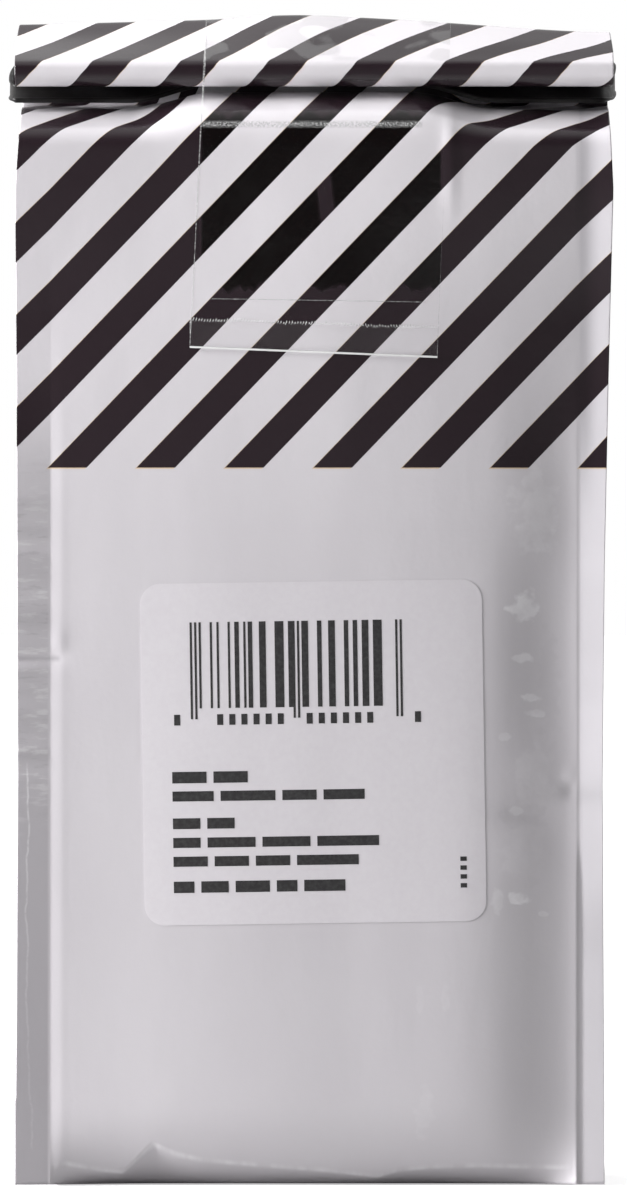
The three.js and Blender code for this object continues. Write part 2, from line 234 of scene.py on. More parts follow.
# How steeply the near panel rises toward the viewer across it, as x, slope
NEAR_SLOPES = np.array([
    [-39.1, 0.17], [-37.7, 0.13], [-37.1, 0.02], [-36, 0.045], [-25, 0.045], [-12, 0.015],
    [0, 0], [10, -0.012], [16, -0.02], [22, -0.045], [26, -0.09], [29, -0.18],
    [32, -0.23], [35, -0.18], [37, -0.10], [38, -0.03], [38.6, 0.02], [39.1, 0.02],
])
SLOPE_STEPS = 783
ACROSS = np.linspace(-FOLD_HALF, FOLD_HALF, SLOPE_STEPS)
RISEN = np.cumsum(np.interp(ACROSS, NEAR_SLOPES[:, 0], NEAR_SLOPES[:, 1])) * (ACROSS[1] - ACROSS[0])
RISEN = RISEN - np.interp(0.0, ACROSS, RISEN)


def near_out(x):
    """How far the near panel stands out from its middle, less than nothing where it falls back."""
    return np.interp(x, ACROSS, RISEN)


MIDDLE_ENDS = (15, 27)


def middle_share(x):
    """1 in the middle of the bag, 0 toward its sides."""
    return 1 - smooth(np.abs(x), *MIDDLE_ENDS)


def ridge_at(x, column):
    """The ridge's rise or step back, eased over its corners."""
    x = np.asarray(x, float)
    shifted = [np.interp(x + shift, RIDGE[:, 0], RIDGE[:, column]) for shift in RIDGE_EASE]
    return np.mean(shifted, axis=0)


def half_width(z, column):
    """Half the bag's width over its fins, on the left in column 1 and on the right in column 2."""
    return np.interp(z, HALF_WIDTHS[:, 0], HALF_WIDTHS[:, column])


# Creases along the foot of the near and the far panel, as x and height: the film turns under below them
FOOT_CREASE = np.array([
    [-39.1, 2.2], [-37.2, 3.2], [-31.5, 2.0], [-28.2, 1.7], [-24.0, 6.2], [-20.6, 4.6], [-16.5, 3.6],
    [-8.0, 2.8], [2.5, 1.9], [9.5, 1.0], [12.5, 2.0], [17.5, 2.5], [24.7, 2.7], [36.5, 2.4], [39.1, 2.6],
])
FOOT_FAR_CREASE = np.array([[-39.1, 2.2], [-20, 3.4], [2, 2.2], [22, 3.0], [39.1, 2.4]])

# Soft swellings and hollows of the near panel, as x, height, reach across, reach up, depth
PANEL_LUMPS = [
    (33.0, 100.0, 4.0, 7.0, 0.22), (34.0, 80.0, 4.6, 11.0, -0.30), (33.0, 61.2, 3.8, 4.2, 0.18),
    (31.2, 55.2, 4.0, 1.6, -0.16), (31.5, 49.5, 3.6, 4.6, 0.16), (-38.6, 78.3, 1.7, 0.9, -0.22),
    (-38.0, 80.9, 1.3, 1.7, 0.12), (38.3, 58.6, 1.3, 1.1, -0.30), (38.2, 60.8, 1.0, 1.4, 0.12),
    (20.4, 153.0, 0.9, 7.0, 0.25),
]

# Its fainter random relief, as depth, size across and up, seed
PANEL_GRAIN = [(0.16, (26, 60), 1.7), (0.05, (9, 30), 8.2)]

# Between these heights its bow turns even, and above its straight part that bow lessens
BOW_EVENS = (96, 132)
BOW_LESS_AT = 150
BOW_LESSENS = 0.55


def near_relief(x, z):
    """How far the near panel stands out from its even bow."""
    x, z = np.broadcast_arrays(np.asarray(x, float), np.asarray(z, float))
    out = sum(depth * grain(x, z, size, seed) for depth, size, seed in PANEL_GRAIN)
    even = np.where(x > 0, RISEN[-1], RISEN[0]) * (x / FOLD_HALF) ** 2
    even = even * (1 - BOW_LESSENS * smooth(z, STRAIGHT_TO, BOW_LESS_AT))
    out = out + smooth(z, *BOW_EVENS) * (even - near_out(x))
    for across, up, wide, tall, depth in PANEL_LUMPS:
        out = out + depth * bell(x, across, wide) * bell(z, up, tall)
    return out


# Crinkles of the left (-1) and the right (1) fin, as size and two seeds
FIN_CRINKLES = {-1: (1.7, 3.3, 0.4), 1: (5.0, 9.1, 2.4)}
CRINKLE_DEPTH = 0.45
LEFT_CRINKLES_START = (52, 64)
LEFT_CRINKLES_END = (100, 110)
RIGHT_CRINKLES_START = (20, 40)
RIGHT_CRINKLES_SHARE = 0.35

# One dent in each of those fins, as depth, height and reach
FIN_DENTS = {-1: (-0.5, 78.2, 0.9), 1: (-0.3, 57.5, 1.2)}


def fin_relief(z, sign):
    """How far small crinkles and a dent move a corner fin at this height."""
    if sign < 0:
        share = smooth(z, *LEFT_CRINKLES_START) * (1 - smooth(z, *LEFT_CRINKLES_END))
    else:
        share = RIGHT_CRINKLES_SHARE * smooth(z, *RIGHT_CRINKLES_START)
    size, *seeds = FIN_CRINKLES[sign]
    crinkle = noise.noise(Vector((z / size, *seeds)))
    depth, height, reach = FIN_DENTS[sign]
    return float(CRINKLE_DEPTH * share * crinkle + depth * bell(z, height, reach))


# Groove beside the right fold, on its fin, and how far out that fold lies higher up
GROOVE_WALL = 0.5
GROOVE_REACH = 3.0
UPPER_FOLD = 2.1
UPPER_SLOPE = 0.13


def fin_front(out, tilt, groove, upper):
    """How far a fin's front stands out at these distances from the fold."""
    hollow = groove * smooth(out, 0, GROOVE_WALL) * np.exp(-np.maximum(out - GROOVE_WALL, 0) / GROOVE_REACH)
    lower = tilt * FIN_STEPS - hollow
    higher = UPPER_SLOPE * (np.maximum(out - UPPER_FOLD, 0) - np.minimum(out, UPPER_FOLD))
    return mix(lower, higher, upper)


# How far the foot turns in at its crease and on the floor, its share of levels below the crease, its curve
CREASE_INSET = 4.5
FOOT_INSET = 7.0
UNDER_SHARE = 0.28
FOOT_CURVE = 2.2

# How the foot goes back to the plain edge at the folds, and how far it rounds in on the sides
FOOT_FADE_POWER = 5
FOOT_FADE_END = 0.12
FOOT_SIDE_ROUND = 3.0


def foot_profile(t, crease, crease_in, under_in):
    """Inset and height on the rounded foot, t from 0 on the floor to 1 at its top."""
    under = np.clip(t / UNDER_SHARE, 0, 1)
    over = np.clip((t - UNDER_SHARE) / (1 - UNDER_SHARE), 0, 1)
    height = np.where(t < UNDER_SHARE, crease * under, mix(crease, BASE_TOP, over))
    at_crease = crease_in * (1 - crease / BASE_TOP) ** FOOT_CURVE
    above = crease_in * (1 - height / BASE_TOP) ** FOOT_CURVE
    inset = np.where(t < UNDER_SHARE, mix(under_in, at_crease, under), above)
    return inset, height


# Columns across the panels, the fins and the gussets, closer together by the near folds and the fins' tips
NEAR_CROWD = 0.55
EVEN_X = np.linspace(-FOLD_HALF, FOLD_HALF, NEAR_COLUMNS)
CROWDED_X = -FOLD_HALF * np.cos(np.linspace(0, np.pi, NEAR_COLUMNS))
NEAR_X = mix(EVEN_X, CROWDED_X, NEAR_CROWD)
FAR_X = np.linspace(FOLD_HALF, -FOLD_HALF, FAR_COLUMNS)
FIN_STEPS = np.array([0.024, 0.083, 0.171, 0.29, 0.46, 0.68, 0.965, 1.0])
GUSSET_SHARES = np.linspace(0, 1, GUSSET_COLUMNS + 2)[1:-1]


def bag_levels():
    """Every level of the film from the floor up and into the roll, as dicts of its sizes."""
    def level(z, near, far, **sizes):
        base = dict(
            z=z, near=near, far=far, near_bow=PANEL_BOW, far_bow=PANEL_BOW,
            left=half_width(z, 1), right=half_width(z, 2), fin=FIN_THICKNESS,
            tilt=FIN_TILT * smooth(z, *TILT_GROWS),
            left_tilt=mix(LEFT_FIN_TILT, LEFT_FIN_TOP_TILT, smooth(z, *LEFT_TILT_TURNS)),
            groove=mix(*GROOVE_DEPTHS, smooth(z, *GROOVE_SHALLOWS)), upper=smooth(z, *FOLD_MOVES_OUT),
            bulge=SIDE_BULGE, inward=GUSSET_INWARD * GUSSET_BODY_SHARE * smooth(z, *GUSSET_FOLDS_IN) ** 2,
            closed=0.0, ridge=0.0, rise=0.0, foot=None, near_v=z, far_v=z, relief=1.0,
        )
        base.update(sizes)
        return base

    def straight(z, **sizes):
        return level(z, (-HALF_DEPTH, z, -1.0, 0.0), (HALF_DEPTH, z, 1.0, 0.0), **sizes)

    levels = [straight(0.0, foot=t) for t in np.linspace(0, 1, BASE_LEVELS, endpoint=False)]
    levels += [straight(z) for z in np.linspace(BASE_TOP, STRAIGHT_TO, BODY_LEVELS, endpoint=False)]
    near = stations(NEAR_SHOULDER, SHOULDER_LEVELS, 1)
    far = stations(FAR_SHOULDER, SHOULDER_LEVELS, -1)
    for k in range(SHOULDER_LEVELS):
        t = k / (SHOULDER_LEVELS - 1)
        gather = 1 - smooth(t, *GATHERS)
        press = smooth(t, *PRESSES_FLAT)
        z = near[k][1]
        folded = GUSSET_BODY_SHARE * smooth(z, *GUSSET_FOLDS_IN) ** 2 + GUSSET_SHOULDER_SHARE * t
        levels.append(level(
            z, tuple(near[k][:4]), tuple(far[k][:4]), near_bow=PANEL_BOW * gather, far_bow=PANEL_BOW * gather,
            tilt=FIN_TILT * gather, fin=mix(FIN_THICKNESS, FLAT_FIN, press), bulge=SIDE_BULGE * gather,
            inward=GUSSET_INWARD * folded * (1 - press), closed=press,
            rise=SHOULDER_RISE * smooth(t, *MIDDLE_RISES) * (1 - smooth(t, *MIDDLE_SINKS)),
            near_v=STRAIGHT_TO + near[k][4], far_v=STRAIGHT_TO + far[k][4], relief=float(gather),
        ))
    near_end, far_end = levels[-1]["near_v"], levels[-1]["far_v"]
    roll = stations(ROLL_LINE, ROLL_LEVELS, 1)
    for k in range(1, ROLL_LEVELS):
        y, z, ny, nz, gone = roll[k]
        t = k / (ROLL_LEVELS - 1)
        step_in = ROLL_INNER_STEP * smooth(t, *ROLL_STEPS_IN)
        widened = smooth(t, *ROLL_WIDENS)
        half = SHEET / 2
        levels.append(level(
            z, (y + ny * half, z + nz * half, ny, nz), (y - ny * half, z - nz * half, -ny, -nz),
            left=mix(half_width(ROLL_FOOT, 1), ROLL_HALF_LEFT, widened) - step_in,
            right=mix(half_width(ROLL_FOOT, 2), ROLL_HALF_RIGHT, widened) - step_in,
            near_bow=0.0, far_bow=0.0, tilt=0.0, fin=FLAT_FIN, bulge=0.0, inward=0.0, closed=1.0,
            ridge=smooth(z, RIDGE_FROM, RIDGE_TO),
            near_v=near_end + gone, far_v=far_end + gone, relief=0.0,
        ))
    return levels


def bag_row(level):
    """Places of one loop of the film: near panel, right side, far panel, left side."""
    near, far, foot = level["near"], level["far"], level["foot"]

    def at(line, x, out):
        """Places across this level, standing out from its line."""
        x = np.asarray(x, float)
        out = np.broadcast_to(out, x.shape)
        rise = level["ridge"] * ridge_at(x, 1)
        back = level["ridge"] * ridge_at(x, 2)
        return np.stack([x, line[0] + line[2] * out + back, line[1] + line[3] * out + rise], axis=1)

    def panel(line, x, bow, crease, is_near):
        """Places across a panel. On the foot they turn in under its crease."""
        out = bow / PANEL_BOW * near_out(x) if is_near else -bow * far_share(x)
        share = 1 - np.abs(x / FOLD_HALF) ** FOOT_FADE_POWER
        z = np.full(x.shape, float(line[1]))
        if foot is not None:
            crease_at = np.interp(x, crease[:, 0], crease[:, 1])
            inset, z = foot_profile(foot, crease_at, CREASE_INSET * share, FOOT_INSET * share)
            z = mix(np.full(x.shape, BASE_TOP * foot), z, smooth(share, 0.0, FOOT_FADE_END))
            out = out - inset
        if is_near and level["relief"] > 0:
            out = out + level["relief"] * near_relief(x, z) * (1 if foot is None else foot)
        points = at(line, x, out)
        if foot is not None:
            points[:, 2] = z
        if is_near:
            points[:, 2] += level["rise"] * middle_share(x)
        return points

    def side(sign):
        """Places down one side: over the near fin, across the gusset and over the far fin."""
        tip = level["left"] if sign < 0 else level["right"]
        inner = mix(FOLD_HALF, tip, level["closed"])
        within = level["fin"] * mix(1, FLAT_ROOT, level["closed"])
        out_x = mix(FOLD_HALF, tip, FIN_STEPS)
        in_x = mix(tip, inner, np.linspace(0, 1, FIN_COLUMNS))

        def fin(line, bow, tilt, groove, upper):
            """Places out over a fin's front and back to its root."""
            crinkle = fin_relief(line[1], sign) if level["relief"] >= 1 and foot is None else 0.0
            front = fin_front(out_x - FOLD_HALF, tilt + crinkle, groove, upper)
            outer = at(line, sign * out_x, front - bow)
            root = -within - UPPER_SLOPE * UPPER_FOLD * upper
            inner_out = mix(front[-1] - level["fin"], root, np.linspace(0, 1, FIN_COLUMNS)) - bow
            inner_points = at(line, sign * in_x, inner_out)
            return np.vstack([outer, inner_points])

        gather = level["near_bow"] / PANEL_BOW
        fold = sign * FOLD_HALF
        relief = float(near_relief(fold, near[1])) * level["relief"] * (1 if foot is None else foot)
        near_bow = -gather * float(near_out(fold)) - relief
        if sign > 0:
            near_fin = fin(near, near_bow, level["tilt"], level["groove"] * gather, level["upper"] * gather)
        else:
            near_fin = fin(near, near_bow, level["left_tilt"] * gather, 0.0, 0.0)
        far_fin = fin(far, level["far_bow"], level["tilt"], 0.0, 0.0)[::-1]
        if foot is not None:
            near_fin[:, 2] = far_fin[:, 2] = BASE_TOP * foot
        gusset = mix(near_fin[-1][None], far_fin[0][None], GUSSET_SHARES[:, None])
        bulge = np.sin(np.pi * GUSSET_SHARES)
        folded = 1 - np.abs(2 * GUSSET_SHARES - 1)
        rounding = 0.0 if foot is None else FOOT_SIDE_ROUND * (1 - foot) ** 2
        gusset[:, 0] += sign * (level["bulge"] * bulge - level["inward"] * folded - rounding * bulge)
        return np.vstack([near_fin, gusset, far_fin])

    return np.vstack([
        panel(near, NEAR_X, level["near_bow"], FOOT_CREASE, True),
        side(1),
        panel(far, FAR_X, level["far_bow"], FOOT_FAR_CREASE, False),
        side(-1)[::-1],
    ])


def print_columns(far_offset):
    """Distance round the film of each column, in millimetres. The far panel's are set by its own offset."""
    tip = PRINT_TIP
    out_x = mix(FOLD_HALF, tip, FIN_STEPS)
    in_x = 2 * tip - mix(tip, FOLD_HALF, np.linspace(0, 1, FIN_COLUMNS))
    width = BODY_DEPTH - 2 * PANEL_BOW
    start = 2 * tip - FOLD_HALF
    gusset = start + width * GUSSET_SHARES
    far_in = start + width + np.linspace(0, tip - FOLD_HALF, FIN_COLUMNS)
    right = np.concatenate([out_x, in_x, gusset, far_in])
    far_fin_out = far_offset - out_x[::-1]
    far_panel = far_offset - FAR_X
    left_far_fin = far_offset + out_x
    left = np.concatenate([left_far_fin, -far_in[::-1], -gusset[::-1], -in_x[::-1], -out_x[::-1]])
    return np.concatenate([NEAR_X, right, far_fin_out, far_panel, left])


def new_mesh_object(name, points, faces, material=None, uvs=None, smooth_faces=True):
    """Object from places in millimetres, moved to where the frame stands."""
    mesh = bpy.data.meshes.new(name)
    places = (np.asarray(points) + np.array([SHIFT_X, SHIFT_Y, 0.0])) * MM
    mesh.from_pydata(places.tolist(), [], faces)
    if uvs is not None:
        layer = mesh.uv_layers.new(name="film_mm")
        layer.data.foreach_set("uv", np.asarray(uvs, float).ravel())
    mesh.polygons.foreach_set("use_smooth", [smooth_faces] * len(mesh.polygons))
    mesh.update()
    obj = bpy.data.objects.new(name, mesh)
    bpy.context.scene.collection.objects.link(obj)
    if material is not None:
        mesh.materials.append(material)
    return obj


def make_bag(material):
    """Film of the whole bag as one closed mesh, with its levels and its rows of places."""
    levels = bag_levels()
    rows = np.array([bag_row(level) for level in levels])
    count, size = rows.shape[:2]
    ridge = max(range(count), key=lambda k: levels[k]["z"])
    matched = next(k for k in range(ridge, count) if levels[k]["far"][1] < ROLL_PRINT_AT)
    far_offset = ROLL_PRINT_START + STRIPE_LEAN * levels[matched]["far_v"] + STRIPE_START
    columns = print_columns(far_offset)

    # Heights on the print's map, by the film's own length on each panel
    near_v = np.array([level["near_v"] for level in levels])
    far_v = np.array([level["far_v"] for level in levels])
    foot = np.array([level["foot"] is not None for level in levels])
    near_v[foot] = far_v[foot] = np.linspace(PRINT_FOOT, BASE_TOP, BASE_LEVELS, endpoint=False)
    around = np.concatenate([
        np.zeros(NEAR_COLUMNS + 2 * FIN_COLUMNS), GUSSET_SHARES, np.ones(4 * FIN_COLUMNS + FAR_COLUMNS),
        1 - GUSSET_SHARES, np.zeros(2 * FIN_COLUMNS),
    ])
    v = mix(near_v[:, None], far_v[:, None], around[None])

    # In the middle, where the shoulder rises, the print goes by the film's height instead
    first = BASE_LEVELS + BODY_LEVELS
    shoulder = (slice(first, first + SHOULDER_LEVELS), slice(0, NEAR_COLUMNS))
    v[shoulder] = mix(v[shoulder], rows[shoulder][..., 2], middle_share(NEAR_X)[None])

    # Columns where the print of a side meets that of the far panel
    seams = (NEAR_COLUMNS + 3 * FIN_COLUMNS + GUSSET_COLUMNS - 1, size - 3 * FIN_COLUMNS - GUSSET_COLUMNS - 1)
    faces, uvs = [], []
    for k in range(count - 1):
        base = k * size
        for i in range(size):
            j = (i + 1) % size
            faces.append((base + i, base + j, base + size + j, base + size + i))
            u_i = columns[i]
            u_j = u_i + SEAM_WIDTH if i in seams else columns[j]
            uvs += [(u_i, v[k, i]), (u_j, v[k, j]), (u_j, v[k + 1, j]), (u_i, v[k + 1, i])]
    faces.append(tuple(reversed(range(size))))
    uvs += [(columns[i], PRINT_FOOT) for i in reversed(range(size))]
    last = (count - 1) * size
    faces.append(tuple(last + i for i in range(size)))
    uvs += [(columns[i], v[-1, i]) for i in range(size)]
    return new_mesh_object("bag_film", rows.reshape(-1, 3), faces, material, uvs), levels, rows


def panel_surface(x, z):
    """Depth at which the near film lies on the body."""
    return -HALF_DEPTH - near_out(x) - near_relief(x, z)


# Flat tie of two wires in a black plastic strip
TIE_WIDTH = 5.0
TIE_WEB = 0.42
TIE_WIRE = 0.4
TIE_STRAIGHT_HALF = 42.1
TIE_REACH_LEFT = 45.15
TIE_REACH_RIGHT = 44.95
TIE_TAB_END = 25.0
TIE_FRONT_WIDTH = (0.0, 0.87, 0.5)
TIE_REAR_WIDTH = (0.0, 0.24, 1.0)
TIE_REAR = (-8.7, 165.1)
TIE_FRONT_SIDES = (-20.5, 162.5)
TIE_FRONT_MIDDLE = (-17.1, 165.1)
TIE_TURN_STEPS = 28
TIE_TAB_STEPS = 9
TIE_BEND_ROUND = 0.7
TIE_STOPS = np.arange(-40.5, 41, 1.5)
TIE_WIRE_SIDES = 14
SHARP_FROM = math.radians(40)

# Shares of each half turn between which the tie goes from the front to behind
TIE_LEFT_TURN = (0.22, 0.9)
TIE_RIGHT_TURN = (0.07, 0.6)


def unit(vector):
    vector = np.asarray(vector, float)
    return vector / np.linalg.norm(vector)


def tie_route():
    """Places along the tie and the direction of its width there."""
    front_width, rear_width = unit(TIE_FRONT_WIDTH), unit(TIE_REAR_WIDTH)

    def front(x):
        y, z = mix(np.array(TIE_FRONT_SIDES), np.array(TIE_FRONT_MIDDLE), float(middle_share(x)))
        return np.array([x, y, z])

    def rear(x):
        return np.array([x, *TIE_REAR])

    def turn(sign, reach, turn_from, turn_to):
        """Half turn at one end of the tie, and the tab behind it."""
        stops = []
        here, there = front(sign * TIE_STRAIGHT_HALF), rear(sign * TIE_STRAIGHT_HALF)
        for k in range(TIE_TURN_STEPS + 1):
            a = math.pi * k / TIE_TURN_STEPS
            across = float(smooth(a, math.pi * turn_from, math.pi * turn_to))
            place = mix(here, there, across)
            place[0] = sign * mix(TIE_STRAIGHT_HALF, reach, max(0.0, math.sin(a)) ** TIE_BEND_ROUND)
            stops.append((place, unit(mix(front_width, rear_width, across))))
        for part in np.linspace(0, 1, TIE_TAB_STEPS)[1:]:
            stops.append((rear(sign * mix(TIE_STRAIGHT_HALF, TIE_TAB_END, part)), rear_width))
        return stops

    straight = [(front(x), front_width) for x in TIE_STOPS]
    left_end = turn(-1, TIE_REACH_LEFT, *TIE_LEFT_TURN)
    right_end = turn(1, TIE_REACH_RIGHT, *TIE_RIGHT_TURN)
    return left_end[::-1] + straight + right_end


def new_tree(name, inputs):
    """Geometry Nodes tree with named inputs, given as name: (socket type, value)."""
    tree = bpy.data.node_groups.new(name, "GeometryNodeTree")
    tree.interface.new_socket("Geometry", in_out="INPUT", socket_type="NodeSocketGeometry")
    for label, (kind, value) in inputs.items():
        socket = tree.interface.new_socket(label, in_out="INPUT", socket_type=kind)
        if value is not None:
            socket.default_value = value
    tree.interface.new_socket("Geometry", in_out="OUTPUT", socket_type="NodeSocketGeometry")
    start = tree.nodes.new("NodeGroupInput")
    end = tree.nodes.new("NodeGroupOutput")
    return tree, start.outputs, end.inputs[0]


def add_node(tree, kind, settings=None, **links):
    """Node of a tree. A link is a socket to read or a plain value, by the input's name."""
    node = tree.nodes.new(kind)
    for name, value in (settings or {}).items():
        setattr(node, name, value)
    for name, value in links.items():
        socket = next(s for s in node.inputs if s.name == name.replace("_", " ") and s.enabled)
        if isinstance(value, bpy.types.NodeSocket):
            tree.links.new(value, socket)
        else:
            socket.default_value = value
    return node


def grow(obj, tree, values):
    """Mesh that a tree makes of an object with these input values. The object is used up."""
    modifier = obj.modifiers.new("grow", "NODES")
    modifier.node_group = tree
    for item in tree.interface.items_tree:
        if item.item_type == "SOCKET" and item.in_out == "INPUT" and item.name in values:
            modifier[item.identifier] = values[item.name]
    bpy.context.view_layer.update()
    mesh = bpy.data.meshes.new_from_object(obj.evaluated_get(bpy.context.evaluated_depsgraph_get()))
    obj.modifiers.remove(modifier)
    bpy.data.objects.remove(obj)
    return mesh


def place_object(name, mesh):
    obj = bpy.data.objects.new(name, mesh)
    bpy.context.scene.collection.objects.link(obj)
    return obj


def tie_tree():
    """Strip along a route: a thin web with a round wire in each edge."""
    tree, given, result = new_tree("tie_strip", {
        "Width": ("NodeSocketFloat", TIE_WIDTH * MM), "Web": ("NodeSocketFloat", TIE_WEB * MM),
        "Wire": ("NodeSocketFloat", TIE_WIRE * MM), "Finish": ("NodeSocketMaterial", None),
    })
    curve = add_node(tree, "GeometryNodeMeshToCurve", Mesh=given["Geometry"])
    across = add_node(tree, "GeometryNodeInputNamedAttribute", {"data_type": "FLOAT_VECTOR"}, Name="across")
    turned = add_node(
        tree, "GeometryNodeSetCurveNormal", {"mode": "FREE"},
        Curve=curve.outputs[0], Normal=across.outputs["Attribute"])
    web = add_node(tree, "GeometryNodeCurvePrimitiveQuadrilateral", Width=given["Width"], Height=given["Web"])
    join = tree.nodes.new("GeometryNodeJoinGeometry")
    tree.links.new(web.outputs[0], join.inputs[0])
    for side in (-1, 1):
        wire = add_node(
            tree, "GeometryNodeCurvePrimitiveCircle", Resolution=TIE_WIRE_SIDES, Radius=given["Wire"])
        half = add_node(tree, "ShaderNodeMath", {"operation": "MULTIPLY"})
        tree.links.new(given["Width"], half.inputs[0])
        half.inputs[1].default_value = side * 0.5
        inset = add_node(tree, "ShaderNodeMath", {"operation": "MULTIPLY_ADD"})
        tree.links.new(given["Wire"], inset.inputs[0])
        inset.inputs[1].default_value = -side
        tree.links.new(half.outputs[0], inset.inputs[2])
        offset = add_node(tree, "ShaderNodeCombineXYZ")
        tree.links.new(inset.outputs[0], offset.inputs["X"])
        moved = add_node(
            tree, "GeometryNodeTransform", Geometry=wire.outputs[0], Translation=offset.outputs[0])
        tree.links.new(moved.outputs[0], join.inputs[0])
    strip = add_node(
        tree, "GeometryNodeCurveToMesh",
        Curve=turned.outputs[0], Profile_Curve=join.outputs[0], Fill_Caps=True)
    real = add_node(tree, "GeometryNodeRealizeInstances", Geometry=strip.outputs[0])
    finished = add_node(tree, "GeometryNodeSetMaterial", Geometry=real.outputs[0], Material=given["Finish"])
    tree.links.new(finished.outputs[0], result)
    return tree


def make_tie(material):
    """The tie, grown along its route."""
    route = tie_route()
    places = np.array([place for place, width in route])
    line = new_mesh_object("tie_route", places, [])
    line.data.edges.add(len(route) - 1)
    line.data.edges.foreach_set("vertices", [k + step for k in range(len(route) - 1) for step in (0, 1)])
    across = line.data.attributes.new("across", "FLOAT_VECTOR", "POINT")
    across.data.foreach_set("vector", np.array([width for place, width in route]).ravel())
    line.data.update()
    mesh = grow(line, tie_tree(), {"Finish": material})
    mesh.polygons.foreach_set("use_smooth", [True] * len(mesh.polygons))
    mesh.set_sharp_from_angle(angle=SHARP_FROM)
    return place_object("tie_strip", mesh)


# Clear tape, from behind the roll over it and down to the panel
TAPE_LOW = 123.65
TAPE_PANEL_TOP = 158.4
TAPE_REAR_FROM = -6.3
TAPE_ROLL_FRONT = -25.0
TAPE_BEHIND = -14.0
TAPE_LEFT = (-18.4, -16.1)
TAPE_RIGHT = (18.4, 20.5)
TAPE_SLANT = 0.75
TAPE_GAP = 0.05
TAPE_COLUMNS = 60
TAPE_SHEET = 0.05
TAPE_STEP = 0.5
TAPE_END_STEPS = 10
TAPE_BRIDGE_STEPS = 14
TAPE_SLANT_FADES = 8
TAPE_LIFT = 0.25
TAPE_LIFT_FADES = 3.5
FILM_AROUND = 4

# Its end, folded under: the torn edge and the rows of that flap
TAB_TOP = 127.9
TAB_GAP = 0.22
TAB_LOW_GAP = 0.32
TAB_ROWS = (0, 0.18, 0.36, 0.54, 0.72, 0.88, 1)
TAB_TOP_SLANT = 0.9
TAB_WAVE = 0.08
TAB_WAVE_RATE = 0.5
TOOTH = 0.42
TOOTH_RISE = 0.55
TORN_SEED = 5
TICKS_FROM = 4.05


def along_row(row, x):
    """Places where a row of points has these x."""
    order = np.argsort(row[:, 0])
    return np.stack([x] + [np.interp(x, row[order, 0], row[order, axis]) for axis in (1, 2)], axis=1)


def tape_rows(levels, rows):
    """Rows of the tape's places from its end behind the roll to its lower end."""
    far_from = NEAR_COLUMNS + 4 * FIN_COLUMNS + GUSSET_COLUMNS
    far = rows[:, far_from:far_from + FAR_COLUMNS]
    near = rows[:, :NEAR_COLUMNS]
    first_roll = BASE_LEVELS + BODY_LEVELS + SHOULDER_LEVELS
    top = max(level["z"] for level in levels)
    share = np.linspace(0, 1, TAPE_COLUMNS)

    def height_share(z):
        return (z - TAPE_LOW) / (top - TAPE_LOW)

    def columns(height):
        return mix(mix(*TAPE_LEFT, height), mix(*TAPE_RIGHT, height), share)

    result = []
    for k in range(first_roll - SHOULDER_LEVELS, first_roll):
        if levels[k]["far"][0] < TAPE_REAR_FROM:
            result.append((far[k], levels[k]["far"], 1.0))
    on_front = [k for k in range(first_roll, len(levels)) if levels[k]["far"][0] < TAPE_ROLL_FRONT]
    lowest_front = min(on_front, key=lambda k: levels[k]["far"][1])
    for k in range(first_roll, lowest_front):
        y, z = levels[k]["far"][:2]
        height = 1.0 if y > TAPE_BEHIND else np.clip(height_share(z), 0, 1)
        result.append((far[k], levels[k]["far"], height))
    points = []
    for row, line, height in result:
        placed = along_row(row, columns(height))
        placed[:, 1] += line[2] * TAPE_GAP
        placed[:, 2] += line[3] * TAPE_GAP
        points.append(placed)
    panel = []
    heights = np.concatenate([
        np.arange(TAPE_PANEL_TOP, STRAIGHT_TO, -TAPE_STEP),
        np.linspace(STRAIGHT_TO, TAPE_LOW, TAPE_END_STEPS),
    ])
    for z in heights:
        x = columns(height_share(z))
        slant = TAPE_SLANT * (1 - 2 * share) * (1 - smooth(z, TAPE_LOW, TAPE_LOW + TAPE_SLANT_FADES))
        close = [k for k in range(first_roll) if abs(levels[k]["z"] - z) < FILM_AROUND]
        film = np.array([along_row(near[k], x) for k in close])
        y = np.array([np.interp(z, film[:, i, 2], film[:, i, 1]) for i in range(TAPE_COLUMNS)])
        off = TAPE_GAP + TAPE_LIFT * (1 - smooth(z, TAPE_LOW, TAPE_LOW + TAPE_LIFT_FADES))
        panel.append(np.stack([x, y - off, z + slant], axis=1))
    bridge = [mix(points[-1], panel[0], t) for t in np.linspace(0, 1, TAPE_BRIDGE_STEPS)[1:-1]]
    return points + bridge + panel


def grid_faces(count, size):
    """Faces between neighbouring places of a grid with this many rows of this size."""
    starts = [k * size + i for k in range(count - 1) for i in range(size - 1)]
    return [(start, start + size, start + size + 1, start + 1) for start in starts]


def sheet_object(name, rows, material):
    """Open sheet over rows of points. Its map is each corner's x and its distance from the last row."""
    rows = np.array(rows)
    count, size = rows.shape[:2]
    gone = np.concatenate([[0], np.cumsum(np.linalg.norm(np.diff(rows[:, size // 2], axis=0), axis=1))])
    gone = gone[-1] - gone
    faces = grid_faces(count, size)
    corners = [(rows[p // size, p % size, 0], gone[p // size]) for face in faces for p in face]
    return new_mesh_object(name, rows.reshape(-1, 3), faces, material, corners)


